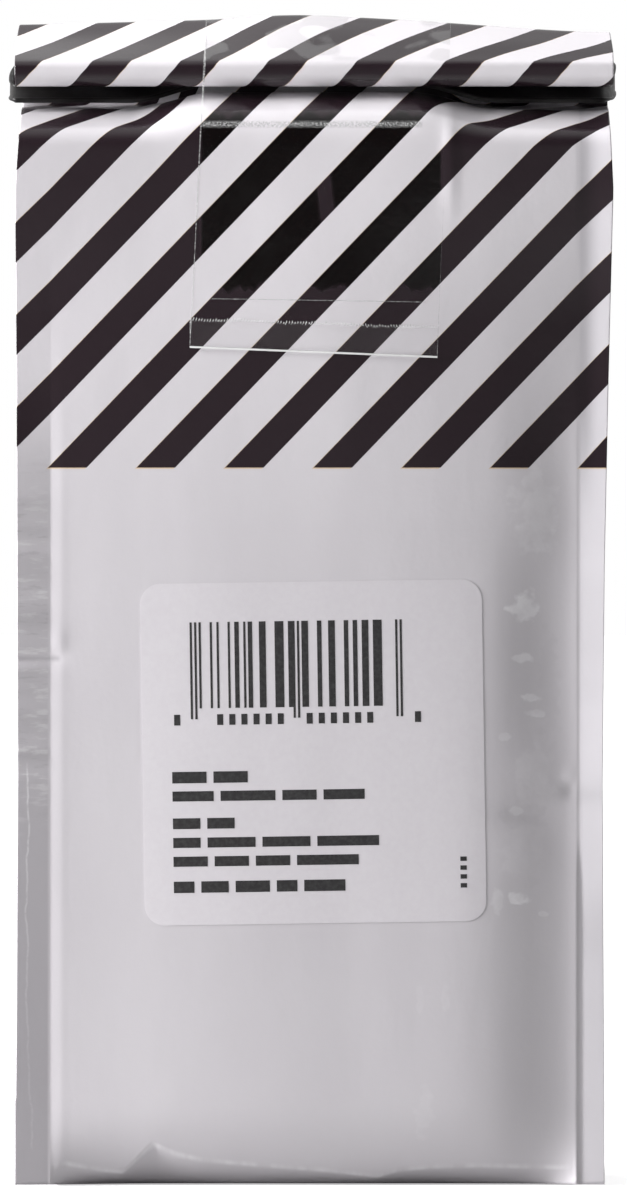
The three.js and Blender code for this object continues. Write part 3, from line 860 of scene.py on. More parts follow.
def make_tape(levels, rows, material, tab_material):
    """The clear strip, and its end that is folded under and torn."""
    tape = sheet_object("tape_strip", tape_rows(levels, rows), material)
    share = np.linspace(0, 1, 2 * round((TAPE_RIGHT[0] - TAPE_LEFT[0]) / TOOTH) + 1)
    x = mix(TAPE_LEFT[0], TAPE_RIGHT[0], share)
    draw = random.Random(TORN_SEED)
    low = TAPE_LOW + TAPE_SLANT * (1 - 2 * share)
    high = TAB_TOP + TAB_TOP_SLANT * TAPE_SLANT * (1 - 2 * share) + TAB_WAVE * np.sin(x * TAB_WAVE_RATE)
    tab = []
    for up in TAB_ROWS:
        z = mix(low, high, up)
        if up == 1:
            z = z + np.array([TOOTH_RISE * (i % 2) * draw.uniform(0.5, 1.0) for i in range(len(x))])
        y = panel_surface(x, z) - TAPE_GAP - TAPE_SHEET - mix(TAB_LOW_GAP, TAB_GAP, up)
        tab.append(np.stack([x, y, z], axis=1))
    tab_sheet = sheet_object("tape_tab", tab[::-1], tab_material)
    return tape, tab_sheet


# Square white label, its marks placed from its middle
LABEL_SIDE = 50.8
LABEL_CORNER = 3.0
LABEL_SHEET = 0.045
LABEL_GAP = 0.015
LABEL_CENTRE = (-0.05, 64.27)
LABEL_TURN = math.radians(-0.85)
LABEL_ROWS = 41
LABEL_ARC_STEPS = 9
MARK_RISE = 0.02

# Bar code: two halves of random bars between three groups of longer ones, placed by modules from its left
BAR_MODULE = 0.332
CODE_LEFT = -18.1
CODE_TOP = 19.6
CODE_LOW = 6.8
CODE_HALVES = (4, 50)
HALF_MODULES = 42
GUARD_LOW = 5.2
CODE_GUARDS = (0, 46, 92)
GUARD_MODULES = 3

# Blocks for the digits below it, as left end and modules
DIGIT_TOP = 5.9
DIGIT_LOW = 4.3
DIGIT_MODULE = 0.9
DIGIT_BLOCKS = ((-20.6, 1), (-14.2, 11), (-0.9, 11), (15.2, 1))

# Lines of longer blocks, as right end, top and bottom
LINE_LEFT = -21.0
LINE_MODULE = 1.02
LINES = (
    (-8.1, -2.6, -4.3), (10.5, -5.5, -7.0), (-5.3, -9.5, -11.1), (11.7, -12.4, -13.9), (10.8, -15.2, -16.7),
    (9.0, -18.9, -20.6),
)

# Small row of blocks that goes up beside the right edge
SIDE_ROW_PLACE = (22.1, -20.4)
SIDE_ROW_HEIGHT = 0.95
SIDE_ROW_SIZES = (7, 0.66, 1, 1, 1)
SIDE_ROW_SEED = 40
MARK_SEED = 11


def on_label(u, h, out):
    """Places on the bent label, from its own right and up."""
    c, s = math.cos(LABEL_TURN), math.sin(LABEL_TURN)
    x = LABEL_CENTRE[0] + c * u + s * h
    z = LABEL_CENTRE[1] - s * u + c * h
    return np.stack([x, panel_surface(x, z) - out, z], axis=1)


def make_label(material):
    """Thin square sheet with round corners, bent with the panel."""
    half = LABEL_SIDE / 2
    flat = half - LABEL_CORNER
    angles = np.linspace(0, math.pi / 2, LABEL_ARC_STEPS)[:-1]
    corner_u = flat + LABEL_CORNER * np.cos(angles)
    corner_h = flat + LABEL_CORNER * np.sin(angles)
    straight = np.linspace(flat, -flat, LABEL_ROWS)
    u = np.concatenate([corner_u, straight, -corner_u[::-1]])[::-1]
    h = np.concatenate([corner_h, np.full(LABEL_ROWS, half), corner_h[::-1]])
    shares = np.linspace(1, -1, LABEL_ROWS)
    front = np.array([on_label(u, h * share, LABEL_GAP + LABEL_SHEET) for share in shares])
    back = np.array([on_label(u, h * share, LABEL_GAP) for share in shares])
    rows, size = front.shape[:2]
    behind = rows * size
    faces = []
    for face in grid_faces(rows, size):
        faces.append(face)
        faces.append(tuple(behind + p for p in reversed(face)))
    rim = list(range(size)) + [k * size + size - 1 for k in range(1, rows)]
    rim += [(rows - 1) * size + i for i in range(size - 2, -1, -1)]
    rim += [k * size for k in range(rows - 2, 0, -1)]
    for a, b in zip(rim, rim[1:] + rim[:1]):
        faces.append((a, b, behind + b, behind + a))
    points = np.vstack([front.reshape(-1, 3), back.reshape(-1, 3)])
    label = new_mesh_object("label_sheet", points, faces, material)
    label.data.set_sharp_from_angle(angle=SHARP_FROM)
    return label


def mark_tree():
    """Row of flat bars to the right of the origin, their widths and gaps random counts of one module."""
    tree, given, result = new_tree("mark_row", {
        "Modules": ("NodeSocketInt", HALF_MODULES), "Module": ("NodeSocketFloat", BAR_MODULE),
        "Height": ("NodeSocketFloat", CODE_TOP - CODE_LOW), "Rise": ("NodeSocketFloat", MARK_RISE),
        "Widest": ("NodeSocketInt", 4), "Narrowest": ("NodeSocketInt", 1), "Widest gap": ("NodeSocketInt", 4),
        "Seed": ("NodeSocketInt", 1), "Finish": ("NodeSocketMaterial", None),
    })
    index = tree.nodes.new("GeometryNodeInputIndex").outputs[0]

    def draw(low, high, shift):
        """Random whole number for each bar, from its own shift of the seed."""
        seed = add_node(tree, "FunctionNodeIntegerMath", {"operation": "ADD"})
        tree.links.new(given["Seed"], seed.inputs[0])
        seed.inputs[1].default_value = shift
        drawn = add_node(
            tree, "FunctionNodeRandomValue", {"data_type": "INT"},
            Min=low, Max=high, ID=index, Seed=seed.outputs[0])
        return drawn.outputs[2]

    def number(operation, a, b, kind="FunctionNodeIntegerMath"):
        node = add_node(tree, kind, {"operation": operation})
        for socket, value in zip(node.inputs, (a, b)):
            if isinstance(value, bpy.types.NodeSocket):
                tree.links.new(value, socket)
            else:
                socket.default_value = value
        return node.outputs[0]

    points = add_node(tree, "GeometryNodeMeshLine", Count=given["Modules"], Offset=(0, 0, 0))
    width = draw(given["Narrowest"], given["Widest"], 0)
    gap = draw(1, given["Widest gap"], 100)
    stored = add_node(
        tree, "GeometryNodeAccumulateField", {"data_type": "INT"}, Value=number("ADD", width, gap)).outputs[1]
    end = number("ADD", stored, width)
    fits = add_node(tree, "FunctionNodeCompare", {"data_type": "INT", "operation": "LESS_EQUAL"})
    tree.links.new(end, fits.inputs[2])
    tree.links.new(given["Modules"], fits.inputs[3])
    middle = number("MULTIPLY_ADD", width, 0.5, "ShaderNodeMath")
    tree.links.new(stored, middle.node.inputs[2])
    place = add_node(
        tree, "ShaderNodeCombineXYZ", X=number("MULTIPLY", middle, given["Module"], "ShaderNodeMath"))
    moved = add_node(tree, "GeometryNodeSetPosition", Geometry=points.outputs[0], Position=place.outputs[0])
    scale = add_node(
        tree, "ShaderNodeCombineXYZ", X=number("MULTIPLY", width, given["Module"], "ShaderNodeMath"),
        Y=given["Height"], Z=given["Rise"])
    block = add_node(
        tree, "GeometryNodeMeshCube", Size=(1, 1, 1), Vertices_X=5, Vertices_Y=4, Vertices_Z=2)
    bars = add_node(
        tree, "GeometryNodeInstanceOnPoints", Points=moved.outputs[0], Selection=fits.outputs[0],
        Instance=block.outputs[0], Scale=scale.outputs[0])
    real = add_node(tree, "GeometryNodeRealizeInstances", Geometry=bars.outputs[0])
    finished = add_node(tree, "GeometryNodeSetMaterial", Geometry=real.outputs[0], Material=given["Finish"])
    tree.links.new(finished.outputs[0], result)
    return tree


def label_rows():
    """Rows of marks as left, top, bottom, and sizes: modules, module, narrowest, widest, widest gap."""
    rows = []
    for first in CODE_HALVES:
        left = CODE_LEFT + BAR_MODULE * first
        rows.append((left, CODE_TOP, CODE_LOW, (HALF_MODULES, BAR_MODULE, 1, 4, 4)))
    for first in CODE_GUARDS:
        left = CODE_LEFT + BAR_MODULE * first
        rows.append((left, CODE_TOP, GUARD_LOW, (GUARD_MODULES, BAR_MODULE, 1, 1, 1)))
    for left, modules in DIGIT_BLOCKS:
        rows.append((left, DIGIT_TOP, DIGIT_LOW, (modules, DIGIT_MODULE, 1, 1, 1)))
    for right, top, bottom in LINES:
        modules = round((right - LINE_LEFT) / LINE_MODULE)
        rows.append((LINE_LEFT, top, bottom, (modules, LINE_MODULE, 3, 9, 1)))
    return rows


def make_marks(material):
    """All of the label's marks as one mesh, each row of them grown by the same tree."""
    tree = mark_tree()
    points, faces = [], []

    def grow_row(height, sizes, seed):
        """Places along, up and out of one row of blocks, after its faces are kept."""
        modules, module, narrow, wide, gap = sizes
        holder = place_object("mark_holder", bpy.data.meshes.new("mark_holder"))
        mesh = grow(holder, tree, {
            "Modules": modules, "Module": module, "Height": height, "Narrowest": narrow, "Widest": wide,
            "Widest gap": gap, "Seed": seed, "Finish": material,
        })
        places = np.empty(len(mesh.vertices) * 3)
        mesh.vertices.foreach_get("co", places)
        along, up, rise = places.reshape(-1, 3).T
        base = sum(len(p) for p in points)
        faces.extend(tuple(base + v for v in face.vertices) for face in mesh.polygons)
        return along, up, LABEL_GAP + LABEL_SHEET + rise + MARK_RISE / 2

    for seed, (left, top, bottom, sizes) in enumerate(label_rows()):
        along, up, out = grow_row(top - bottom, sizes, MARK_SEED + seed)
        points.append(on_label(left + along, (top + bottom) / 2 + up, out))
    middle, low_end = SIDE_ROW_PLACE
    along, up, out = grow_row(SIDE_ROW_HEIGHT, SIDE_ROW_SIZES, SIDE_ROW_SEED)
    points.append(on_label(middle - up, low_end + along, out))
    return new_mesh_object("label_marks", np.vstack(points), faces, material, smooth_faces=False)


# Materials

class Nodes:
    """A material's tree with short names for the nodes that it takes."""

    def __init__(self, name):
        self.material = bpy.data.materials.new(name)
        self.material.use_nodes = True
        self.tree = self.material.node_tree
        self.shader = self.tree.nodes["Principled BSDF"]

    def put(self, value, socket):
        """Link a socket's value to an input, or set the input to a plain one."""
        if isinstance(value, bpy.types.NodeSocket):
            self.tree.links.new(value, socket)
        elif isinstance(value, tuple) and len(socket.default_value) == 4:
            socket.default_value = (*value, 1)
        else:
            socket.default_value = value

    def set(self, **values):
        """Shader inputs by name."""
        for name, value in values.items():
            self.put(value, self.shader.inputs[name.replace("_", " ")])

    def math(self, operation, a, b=0.0, c=0.0):
        node = self.tree.nodes.new("ShaderNodeMath")
        node.operation = operation
        for socket, value in zip(node.inputs, (a, b, c)):
            self.put(value, socket)
        return node.outputs[0]

    def span(self, value, low, high, to_low=0.0, to_high=1.0):
        """A value that runs evenly between two ends while another goes from low to high."""
        node = self.tree.nodes.new("ShaderNodeMapRange")
        for name, number in (
            ("Value", value), ("From Min", low), ("From Max", high), ("To Min", to_low), ("To Max", to_high),
        ):
            self.put(number, node.inputs[name])
        return node.outputs["Result"]

    def inside(self, value, low, high, soft):
        """1 where a value lies between low and high, softened by this much."""
        rising = self.span(value, low - soft, low + soft)
        return self.math("MULTIPLY", rising, self.span(value, high - soft, high + soft, 1.0, 0.0))

    def both(self, a, b):
        return self.math("MULTIPLY", a, b)

    def most(self, a, b):
        return self.math("MAXIMUM", a, b)

    def mix(self, factor, a, b):
        node = self.tree.nodes.new("ShaderNodeMix")
        node.data_type = "RGBA"
        for value, socket in ((factor, node.inputs["Factor"]), (a, node.inputs[6]), (b, node.inputs[7])):
            self.put(value, socket)
        return node.outputs[2]

    def vector(self, operation, *values):
        node = self.tree.nodes.new("ShaderNodeVectorMath")
        node.operation = operation
        for socket, value in zip(node.inputs, values):
            self.put(value, socket)
        return node.outputs["Value" if operation == "LENGTH" else "Vector"]

    def noise(self, vector, scale, detail=2.0, rough=0.5):
        node = self.tree.nodes.new("ShaderNodeTexNoise")
        for name, value in (("Vector", vector), ("Scale", scale), ("Detail", detail), ("Roughness", rough)):
            self.put(value, node.inputs[name])
        return node.outputs["Fac"]

    def combine(self, x, y, z=0.0):
        node = self.tree.nodes.new("ShaderNodeCombineXYZ")
        for value, socket in zip((x, y, z), node.inputs):
            self.put(value, socket)
        return node.outputs[0]

    def place(self):
        return self.tree.nodes.new("ShaderNodeTexCoord").outputs["Object"]

    def map_mm(self):
        """The piece's own map in millimetres, across and along."""
        node = self.tree.nodes.new("ShaderNodeUVMap")
        node.uv_map = "film_mm"
        split = self.tree.nodes.new("ShaderNodeSeparateXYZ")
        self.tree.links.new(node.outputs[0], split.inputs[0])
        return split.outputs["X"], split.outputs["Y"]

    def bump(self, height, distance, strength=1.0, normal=None):
        node = self.tree.nodes.new("ShaderNodeBump")
        self.put(strength, node.inputs["Strength"])
        self.put(distance, node.inputs["Distance"])
        self.put(height, node.inputs["Height"])
        if normal is not None:
            self.put(normal, node.inputs["Normal"])
        return node.outputs[0]


# Colours of the film, its print and the print's pale edge, of the painted light, painted highlight and
# painted shade laid on the film, and how far that edge shows past the black
FILM_WHITE = (0.555, 0.53, 0.56)
# Painted light: the film's white where more light falls on it
PAINTED_LIGHT_WHITE = (0.73, 0.70, 0.735)
# Random mottle of the film's tone, also the painted highlight on the left fin's crinkles
FILM_MOTTLE_AND_CRINKLE_HIGHLIGHT = (0.70, 0.69, 0.70)
# Painted highlight, for glints, bright lines and the foot's crease
FILM_PAINTED_HIGHLIGHT = (0.92, 0.91, 0.93)
# Painted shade, for hollows, the left fin, its crinkles and its pinch
FILM_PAINTED_SHADE = (0.40, 0.38, 0.405)
# Right fin painted lighter, as if lit
RIGHT_FIN_PAINTED_LIGHT = (0.64, 0.615, 0.65)
PRINT_BLACK = (0.018, 0.010, 0.014)
WETTED_BLACK = (0.0018, 0.0003, 0.0004)
EDGE_CREAM = (0.62, 0.48, 0.35)
EDGE_SHIFT = (0.26, 0.18)
PRINT_SOFT = 0.0035
FILM_ROUGH = 0.27
CLINGING_ROUGH = 0.12

# Where the tape clings to the film, and a loose patch at its right, on the print's map
CLINGS_ACROSS = (-16.6, 18.9)
CLINGS_UP = (133.4, 159.2)
CLING_RAGGED = 1.4
LOOSE_ACROSS = (18.2, 20.6)
LOOSE_UP = (142.4, 151.0)
LOOSE_SLANT = 0.12

# Where the painted light, highlights and shade of the fins and the foot go, on the same map
RIGHT_FIN = (FOLD_HALF + 0.5, 44.2)
LEFT_FIN = (-44.6, -FOLD_HALF - 0.35)
CRACK_UP = (2.0, 62.0)
CRACK_WAVE = 0.3
CRINKLES_UP = (56.0, 104.0)
PINCH_ACROSS = (-44.6, -37.7)
PINCH_UP = (77.9, 78.6)
CREASE_ACROSS = (-38.0, 38.0)
CREASE_UP = (-1.0, -0.3)


def stripes(n, u, v):
    """Diagonal black print above STRIPE_END."""
    across = n.math("SUBTRACT", n.math("SUBTRACT", u, n.math("MULTIPLY", v, STRIPE_LEAN)), STRIPE_START)
    phase = n.math("FRACT", n.math("DIVIDE", across, STRIPE_PITCH))
    band = n.inside(phase, PRINT_SOFT, STRIPE_BLACK, PRINT_SOFT)
    return n.both(band, n.span(v, STRIPE_END - 0.05, STRIPE_END + 0.05))


# Painted highlights on small facets and bubbles on the right of the near panel, as x, height, reach across,
# reach up, share
PAINTED_HIGHLIGHT_SPOTS = (
    (33.0, 100.0, 3.3, 6.3, 0.3), (31.3, 85.9, 2.2, 2.1, 0.75), (31.0, 78.4, 2.0, 0.7, 0.55),
    (32.6, 72.4, 1.5, 0.7, 0.6), (33.3, 70.0, 1.6, 0.6, 0.5), (28.5, 66.5, 1.0, 0.7, 0.35),
    (32.9, 61.1, 3.2, 3.9, 0.18), (30.0, 55.6, 1.1, 0.8, 0.6), (31.3, 49.8, 3.2, 4.8, 0.12),
    (30.5, 42.4, 1.7, 0.9, 0.8), (34.0, 40.2, 0.8, 0.4, 0.4), (27.3, 42.3, 1.0, 1.9, 0.3),
    (15.8, 27.1, 0.6, 2.6, 0.12), (19.5, 27.9, 0.6, 3.3, 0.12), (16.5, 9.7, 1.3, 4.5, 0.12),
)
# Painted shade in hollows among them, in the same columns
PAINTED_SHADE_SPOTS = ((31.3, 55.1, 3.9, 2.0, 0.4), (35.0, 73.0, 1.6, 9.0, 0.25), (32.5, 46.0, 1.2, 2.6, 0.15))


def spots(n, u, v, patches):
    """Ragged patches, the strongest at each place."""
    place = n.combine(u, v)
    wobble = n.span(n.noise(place, 0.5, 2.0), 0.3, 0.7, -0.5, 0.5)
    seen = 0.0
    for x, z, wide, tall, share in patches:
        away = n.vector("MULTIPLY_ADD", place, (1 / wide, 1 / tall, 0), (-x / wide, -z / tall, 0))
        away = n.math("ADD", n.vector("LENGTH", away), wobble)
        seen = n.most(n.span(away, 0.7, 1.1, share, 0.0), seen)
    return n.both(seen, n.span(n.noise(place, 0.4, 3.0), 0.35, 0.62, 0.25, 0.6))


def plain_film(n, u, v):
    """White of the film with painted light: brighter from a little below the stripes upward, most toward
    their top and away from the left side, and a little mottled.
    """
    brighter = n.both(n.span(v, 98.0, 142.0, 0.25, 1.0), n.span(u, -36.0, -8.0, 0.35, 1.0))
    white = n.mix(n.both(brighter, n.span(v, 70.0, 100.0)), FILM_WHITE, PAINTED_LIGHT_WHITE)
    mottle = n.span(n.noise(n.place(), 60.0, 3.0), 0.35, 0.65, 0.0, 0.06)
    return n.mix(mottle, white, FILM_MOTTLE_AND_CRINKLE_HIGHLIGHT)


def right_side_painted_light(n, u, v, white):
    """Right fin painted lighter, as if lit, and painted highlights and painted shade on the facets and
    bubbles beside it.
    """
    white = n.mix(n.inside(u, *RIGHT_FIN, 0.2), white, RIGHT_FIN_PAINTED_LIGHT)
    white = n.mix(spots(n, u, v, PAINTED_HIGHLIGHT_SPOTS), white, FILM_PAINTED_HIGHLIGHT)
    return n.mix(spots(n, u, v, PAINTED_SHADE_SPOTS), white, FILM_PAINTED_SHADE)


def left_fin_crack_highlight(n, u, v, white):
    """Painted highlight: a fine bright line that wanders up the lower left fin."""
    wander = n.span(n.noise(n.combine(v, 1.0), 0.16, 3.0), 0.3, 0.7, -CRACK_WAVE, CRACK_WAVE)
    middle = n.math("ADD", n.span(v, 4.0, 26.0, -41.5, -42.5), wander)
    away = n.math("ABSOLUTE", n.math("SUBTRACT", u, middle))
    crack_highlight = n.both(n.span(away, 0.07, 0.2, 1.0, 0.0), n.inside(v, *CRACK_UP, 1.0))
    broken = n.span(n.noise(n.combine(u, v), 0.9, 3.0), 0.34, 0.5, 0.35, 0.9)
    return n.mix(n.both(crack_highlight, broken), white, FILM_PAINTED_HIGHLIGHT)


def left_fin_painted_shading(n, u, v, white):
    """Painted shade of the left fin, deeper toward the foot, with painted highlight and shade on its crinkles
    and painted shade in one pinch.
    """
    on_fin = n.inside(u, *LEFT_FIN, 0.15)
    white = n.mix(n.both(on_fin, n.span(v, 20.0, 112.0, 0.85, 0.0)), white, FILM_PAINTED_SHADE)
    across_fin = n.noise(n.combine(n.math("MULTIPLY", u, 0.22), v), 0.75, 4.0, 0.6)
    crinkled = n.both(on_fin, n.inside(v, *CRINKLES_UP, 6.0))
    white = n.mix(n.both(crinkled, n.span(across_fin, 0.54, 0.64, 0.0, 0.5)), white, FILM_MOTTLE_AND_CRINKLE_HIGHLIGHT)
    white = n.mix(n.both(crinkled, n.span(across_fin, 0.44, 0.36, 0.0, 0.5)), white, FILM_PAINTED_SHADE)
    # Painted shade in one pinch of the fin
    pinch = n.both(n.inside(v, *PINCH_UP, 0.3), n.inside(u, *PINCH_ACROSS, 0.3))
    return n.mix(n.both(pinch, 0.8), white, FILM_PAINTED_SHADE)


def foot_crease_highlight(n, u, v, wave, white):
    """Painted highlight along the crease of the foot."""
    caught = n.both(n.inside(v, *CREASE_UP, 0.5), n.span(wave, 0.4, 0.6, 0.1, 0.45))
    return n.mix(n.both(caught, n.inside(u, *CREASE_ACROSS, 1.0)), white, FILM_PAINTED_HIGHLIGHT)


def clinging_tape(n, u, v, wave):
    """Where the tape clings to the film: a field with ragged ends, less a loose patch at its right."""
    ragged = n.math("ADD", v, n.span(wave, 0.3, 0.7, -CLING_RAGGED, CLING_RAGGED))
    clinging = n.both(n.inside(u, *CLINGS_ACROSS, 0.15), n.inside(ragged, *CLINGS_UP, 0.3))
    slanted = n.math("MULTIPLY_ADD", v, LOOSE_SLANT, u)
    loose = n.both(n.inside(slanted, *LOOSE_ACROSS, 0.2), n.inside(v, *LOOSE_UP, 0.8))
    return n.both(clinging, n.math("SUBTRACT", 1.0, loose))


def film_relief(n):
    """Grain, softness and creases that are finer than the film's mesh."""
    bump = n.bump(n.noise(n.place(), 1400.0, 2.0), 0.00003, 0.35)
    bump = n.bump(n.noise(n.place(), 240.0, 2.0), 0.0001, 0.22, bump)
    upright = n.vector("MULTIPLY", n.place(), (1.0, 1.0, 0.4))
    return n.bump(n.noise(upright, 150.0, 4.0, 0.6), 0.00016, 0.3, bump)


def film_material():
    """Satin white film with black print, its blacks deeper where the tape clings to it."""
    n = Nodes("film_satin_striped")
    u, v = n.map_mm()
    wave = n.noise(n.combine(u, 3.0), 0.35, 3.0)
    # The film's white carries painted light, painted highlights and painted shade from these calls
    white = plain_film(n, u, v)
    white = right_side_painted_light(n, u, v, white)
    white = left_fin_crack_highlight(n, u, v, white)
    white = left_fin_painted_shading(n, u, v, white)
    white = foot_crease_highlight(n, u, v, wave, white)
    clinging = clinging_tape(n, u, v, wave)
    edge = stripes(n, n.math("ADD", u, EDGE_SHIFT[0]), n.math("ADD", v, EDGE_SHIFT[1]))
    colour = n.mix(edge, white, EDGE_CREAM)
    colour = n.mix(stripes(n, u, v), colour, n.mix(clinging, PRINT_BLACK, WETTED_BLACK))
    rough = n.span(clinging, 0.0, 1.0, FILM_ROUGH, CLINGING_ROUGH)
    n.set(Base_Color=colour, Roughness=rough, Normal=film_relief(n))
    return n.material


# Colours of the tie, the tape, the label and its marks
TIE_BLACK = (0.004, 0.0034, 0.0034)
TIE_WORN = (0.009, 0.008, 0.008)
TAPE_GREY = (0.5, 0.5, 0.5)
# Painted highlight of the tape's edges, fold and lines
TAPE_PAINTED_HIGHLIGHT = (0.85, 0.85, 0.85)
LABEL_WHITE = (0.625, 0.60, 0.63)
LABEL_FIBRE = (0.60, 0.57, 0.605)
INK_BLACK = (0.012, 0.011, 0.012)
INK_WORN = (0.04, 0.038, 0.04)

# Marks of the tape on its own map, where its painted highlights go: where its sides end upward, its first
# line of contact and a thin line
TAPE_SIDES_TO = 46.0
CONTACT_ACROSS = (-16.6, 16.0)
CONTACT_UP = (33.7, 34.6)
THIN_LINE_ACROSS = (-15.2, 16.6)
THIN_LINE_ENDS = (8.1, 7.6)
# Where a painted grey sheen shows the tape lifting, and how white the fold's painted highlight is
LIFTED_UP = (46.0, 66.0)
FOLD_WHITE = 0.9


def tie_material():
    """Dull black plastic."""
    n = Nodes("tie_black_plastic")
    fine = n.noise(n.place(), 900.0, 3.0)
    colour = n.mix(n.span(fine, 0.4, 0.7), TIE_BLACK, TIE_WORN)
    n.set(Base_Color=colour, Roughness=n.span(fine, 0.3, 0.7, 0.4, 0.55), Normal=n.bump(fine, 0.00005, 0.3))
    n.set(Specular_IOR_Level=0.3)
    return n.material


def clear_material(name, clear, ticks):
    """Clear tape: nearly unseen, with painted highlights at its cut edges, its fold, its torn teeth and its
    speckled first line of contact, a thin white line, and a painted grey sheen where it lifts.
    """
    n = Nodes(name)
    u, v = n.map_mm()
    place = n.combine(u, v)
    speckle = n.noise(place, 3.2, 4.0, 0.7)
    # Painted highlights along the cut sides, the first line of contact, the fold and the torn teeth, and a
    # thin white line
    from_left = n.math("SUBTRACT", u, n.span(v, 0.0, TAPE_SIDES_TO, *TAPE_LEFT))
    from_right = n.math("SUBTRACT", n.span(v, 0.0, TAPE_SIDES_TO, *TAPE_RIGHT), u)
    side = n.span(n.math("MINIMUM", from_left, from_right), 0.03, 0.1, 1.0, 0.0)
    side = n.both(side, n.span(speckle, 0.4, 0.6, 0.12, 0.7))
    contact = n.both(n.inside(v, *CONTACT_UP, 0.25), n.inside(u, *CONTACT_ACROSS, 0.4))
    contact = n.both(contact, n.span(speckle, 0.38, 0.62, 0.06, 0.6))
    line_away = n.math("ABSOLUTE", n.math("SUBTRACT", v, n.span(u, -16.0, 16.5, *THIN_LINE_ENDS)))
    thin_line = n.both(n.span(line_away, 0.02, 0.08, 1.0, 0.0), n.inside(u, *THIN_LINE_ACROSS, 0.2))
    thin_line = n.both(thin_line, n.span(speckle, 0.35, 0.6, 0.12, 0.6))
    fold = n.span(v, 0.24, 0.32, FOLD_WHITE, 0.0)
    seen = n.most(n.most(side, contact), n.most(thin_line, fold))
    tick = n.inside(n.math("FRACT", n.math("DIVIDE", u, TOOTH)), 0.3, 0.7, 0.12)
    tick = n.both(n.span(v, TICKS_FROM, TICKS_FROM + 0.06), n.most(tick, n.span(speckle, 0.5, 0.62)))
    seen = n.most(seen, n.both(tick, ticks))
    haze = n.span(n.noise(place, 0.16, 3.0), 0.48, 0.62, 0.0, 0.004)
    # Painted grey sheen where the tape lifts
    lifted = n.both(n.span(n.noise(place, 0.13, 1.0), 0.52, 0.56, 0.0, 0.16), n.inside(v, *LIFTED_UP, 0.5))
    alpha = n.most(n.math("ADD", seen, n.most(haze, lifted)), clear)
    n.set(Base_Color=n.mix(seen, TAPE_GREY, TAPE_PAINTED_HIGHLIGHT), Roughness=0.12, Alpha=alpha)
    n.set(Normal=n.bump(n.noise(place, 0.5, 2.0), 0.0002, 0.2))
    return n.material


def label_material():
    """White coated paper."""
    n = Nodes("label_coated_paper")
    fibre = n.noise(n.place(), 1100.0, 4.0, 0.65)
    colour = n.mix(n.span(fibre, 0.3, 0.7), LABEL_FIBRE, LABEL_WHITE)
    n.set(Base_Color=colour, Roughness=n.span(fibre, 0.3, 0.7, 0.5, 0.62), Normal=n.bump(fibre, 0.00003, 0.3))
    return n.material


def mark_material():
    """Flat black ink, a little thin in places."""
    n = Nodes("label_black_ink")
    fine = n.noise(n.place(), 1500.0, 3.0)
    n.set(Base_Color=n.mix(n.span(fine, 0.4, 0.8), INK_BLACK, INK_WORN), Roughness=0.6)
    return n.material


def floor_material():
    """Pale floor, whiter to the eye than in the light that it throws back at the bag."""
    n = Nodes("floor_pale")
    seen = n.tree.nodes.new("ShaderNodeLightPath").outputs["Is Camera Ray"]
    n.set(Base_Color=n.mix(seen, FLOOR_BOUNCE, FLOOR_SEEN), Roughness=0.8)
    n.set(Emission_Color=(1.0, 1.0, 1.0), Emission_Strength=n.both(seen, FLOOR_GLOW))
    return n.material


# Studio

# Photo's scale in millimetres a pixel, its height, and the row where the bag stands
PIXEL = 0.1486
PHOTO_ROWS = 1200
FLOOR_ROW = 1185
FRAME_MM = PHOTO_ROWS * PIXEL
FRAME_MIDDLE = (FLOOR_ROW - PHOTO_ROWS / 2) * PIXEL
CAMERA_AWAY = 2600.0
SENSOR = 36
FLOOR_REACH = 40.0
FLOOR_DROP = -0.0002
FLOOR_GLOW = 0.55
FLOOR_SEEN = (0.91, 0.91, 0.91)
FLOOR_BOUNCE = (0.6, 0.6, 0.6)
KEY_PLACE = (-1.25, -0.2, 0.40)
KEY_AIM = (0, 0, 0.09)
KEY_SIZE = (0.6, 1.0)
KEY_POWER = 12.8
KEY_SPREAD = math.radians(70)

# World light: where most of it comes from, and how its strength grows toward there
SKY_FROM = Vector((-0.1, 0.6, 0.8)).normalized()
SKY_GROWS = {"From Min": 0.0, "From Max": 0.8, "To Min": 0.09, "To Max": 0.96}

# Card beside the bag's left side, as x, front and back ends and top
CARD_X = -0.062
CARD_ENDS = (-0.0285, 0.045)
CARD_TOP = 0.160


def make_world():
    """White surround to the eye. It lights the bag from above and behind it, less from the viewer's side."""
    world = bpy.data.worlds.new("studio")
    world.use_nodes = True
    bpy.context.scene.world = world
    tree = world.node_tree
    place = tree.nodes.new("ShaderNodeTexCoord")
    toward = tree.nodes.new("ShaderNodeVectorMath")
    toward.operation = "DOT_PRODUCT"
    tree.links.new(place.outputs["Generated"], toward.inputs[0])
    toward.inputs[1].default_value = SKY_FROM
    lit = tree.nodes.new("ShaderNodeMapRange")
    lit.interpolation_type = "SMOOTHSTEP"
    tree.links.new(toward.outputs["Value"], lit.inputs["Value"])
    for name, value in SKY_GROWS.items():
        lit.inputs[name].default_value = value
    ray = tree.nodes.new("ShaderNodeLightPath")
    strength = tree.nodes.new("ShaderNodeMix")
    tree.links.new(ray.outputs["Is Camera Ray"], strength.inputs["Factor"])
    tree.links.new(lit.outputs["Result"], strength.inputs[2])
    strength.inputs[3].default_value = 1.0
    background = tree.nodes["Background"]
    background.inputs["Color"].default_value = (1, 1, 1, 1)
    world.cycles.sampling_method = "NONE"
    tree.links.new(strength.outputs[0], background.inputs["Strength"])


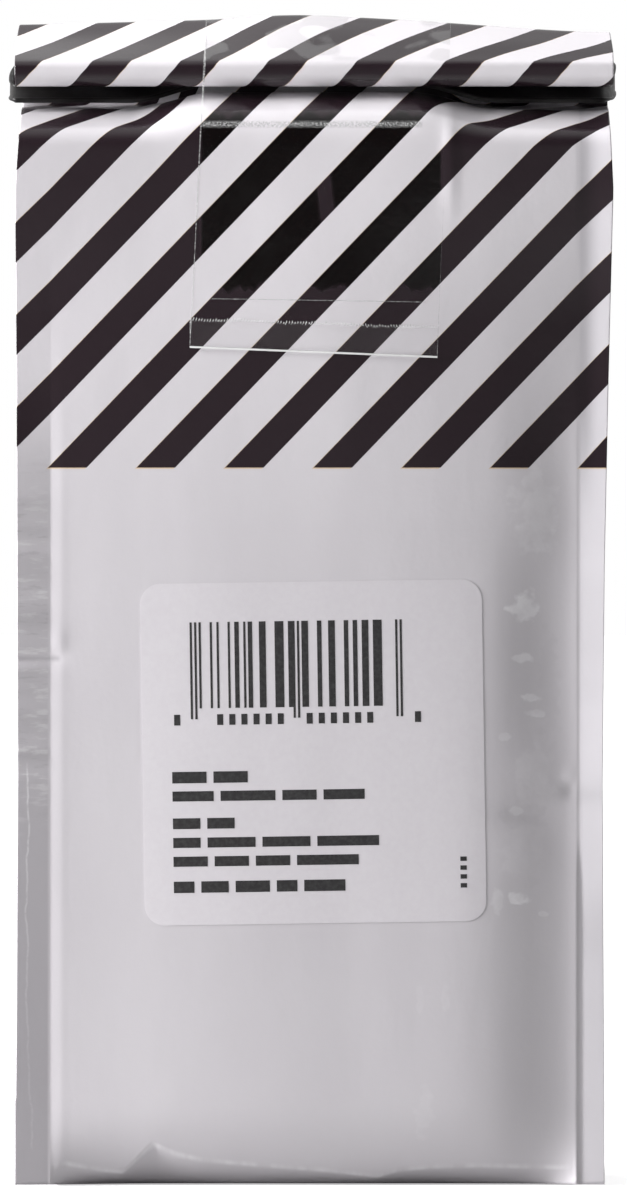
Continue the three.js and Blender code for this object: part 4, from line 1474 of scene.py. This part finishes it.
def make_card():
    """Card that keeps the raking key lamp off the bag's left side. It only casts a shadow."""
    mesh = bpy.data.meshes.new("shade_card")
    front, back = CARD_ENDS
    corners = [(CARD_X, front, 0), (CARD_X, back, 0), (CARD_X, back, CARD_TOP), (CARD_X, front, CARD_TOP)]
    mesh.from_pydata(corners, [], [(0, 1, 2, 3)])
    card = place_object("shade_card", mesh)
    card.visible_camera = False
    card.visible_diffuse = False
    card.visible_glossy = False
    card.visible_transmission = False


def make_floor():
    """Wide flat floor, a hair below the bag."""
    mesh = bpy.data.meshes.new("floor")
    corners = [(-1, -1), (1, -1), (1, 1), (-1, 1)]
    mesh.from_pydata([(x * FLOOR_REACH, y * FLOOR_REACH, FLOOR_DROP) for x, y in corners], [], [(0, 1, 2, 3)])
    mesh.materials.append(floor_material())
    place_object("floor", mesh)


def make_key():
    """Soft lamp that rakes over the labelled side from the left."""
    data = bpy.data.lights.new("key_left", "AREA")
    data.shape = "RECTANGLE"
    data.size, data.size_y = KEY_SIZE
    data.energy = KEY_POWER
    data.spread = KEY_SPREAD
    lamp = place_object("key_left", data)
    lamp.location = KEY_PLACE
    lamp.rotation_euler = (Vector(KEY_AIM) - Vector(KEY_PLACE)).to_track_quat("-Z", "Y").to_euler()


def make_camera():
    """Level camera, square on to the labelled side."""
    data = bpy.data.cameras.new("camera")
    data.sensor_width = SENSOR
    data.lens = SENSOR * CAMERA_AWAY / FRAME_MM
    data.clip_end = 100
    camera = place_object("camera", data)
    camera.location = (SHIFT_X * MM, (SHIFT_Y - HALF_DEPTH - CAMERA_AWAY) * MM, FRAME_MIDDLE * MM)
    camera.rotation_euler = (math.radians(90), 0, 0)
    bpy.context.scene.camera = camera


def make_studio():
    """Floor, surround, card, lamp and camera."""
    bpy.context.scene.view_settings.view_transform = "Standard"
    make_floor()
    make_world()
    make_card()
    make_key()
    make_camera()


def dress(piece, node):
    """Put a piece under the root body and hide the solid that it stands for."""
    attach(piece, "root")
    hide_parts(node)


bag, made_levels, made_rows = make_bag(film_material())
dress(bag, "bag")
dress(make_tie(tie_material()), "tin_tie")
single_tape = clear_material("tape_clear", 0.001, 0.0)
double_tape = clear_material("tape_clear_double", 0.035, 0.8)
tape, tab = make_tape(made_levels, made_rows, single_tape, double_tape)
dress(tape, "tape")
dress(tab, "tape")
dress(make_label(label_material()), "label")
dress(make_marks(mark_material()), "label")
make_studio()
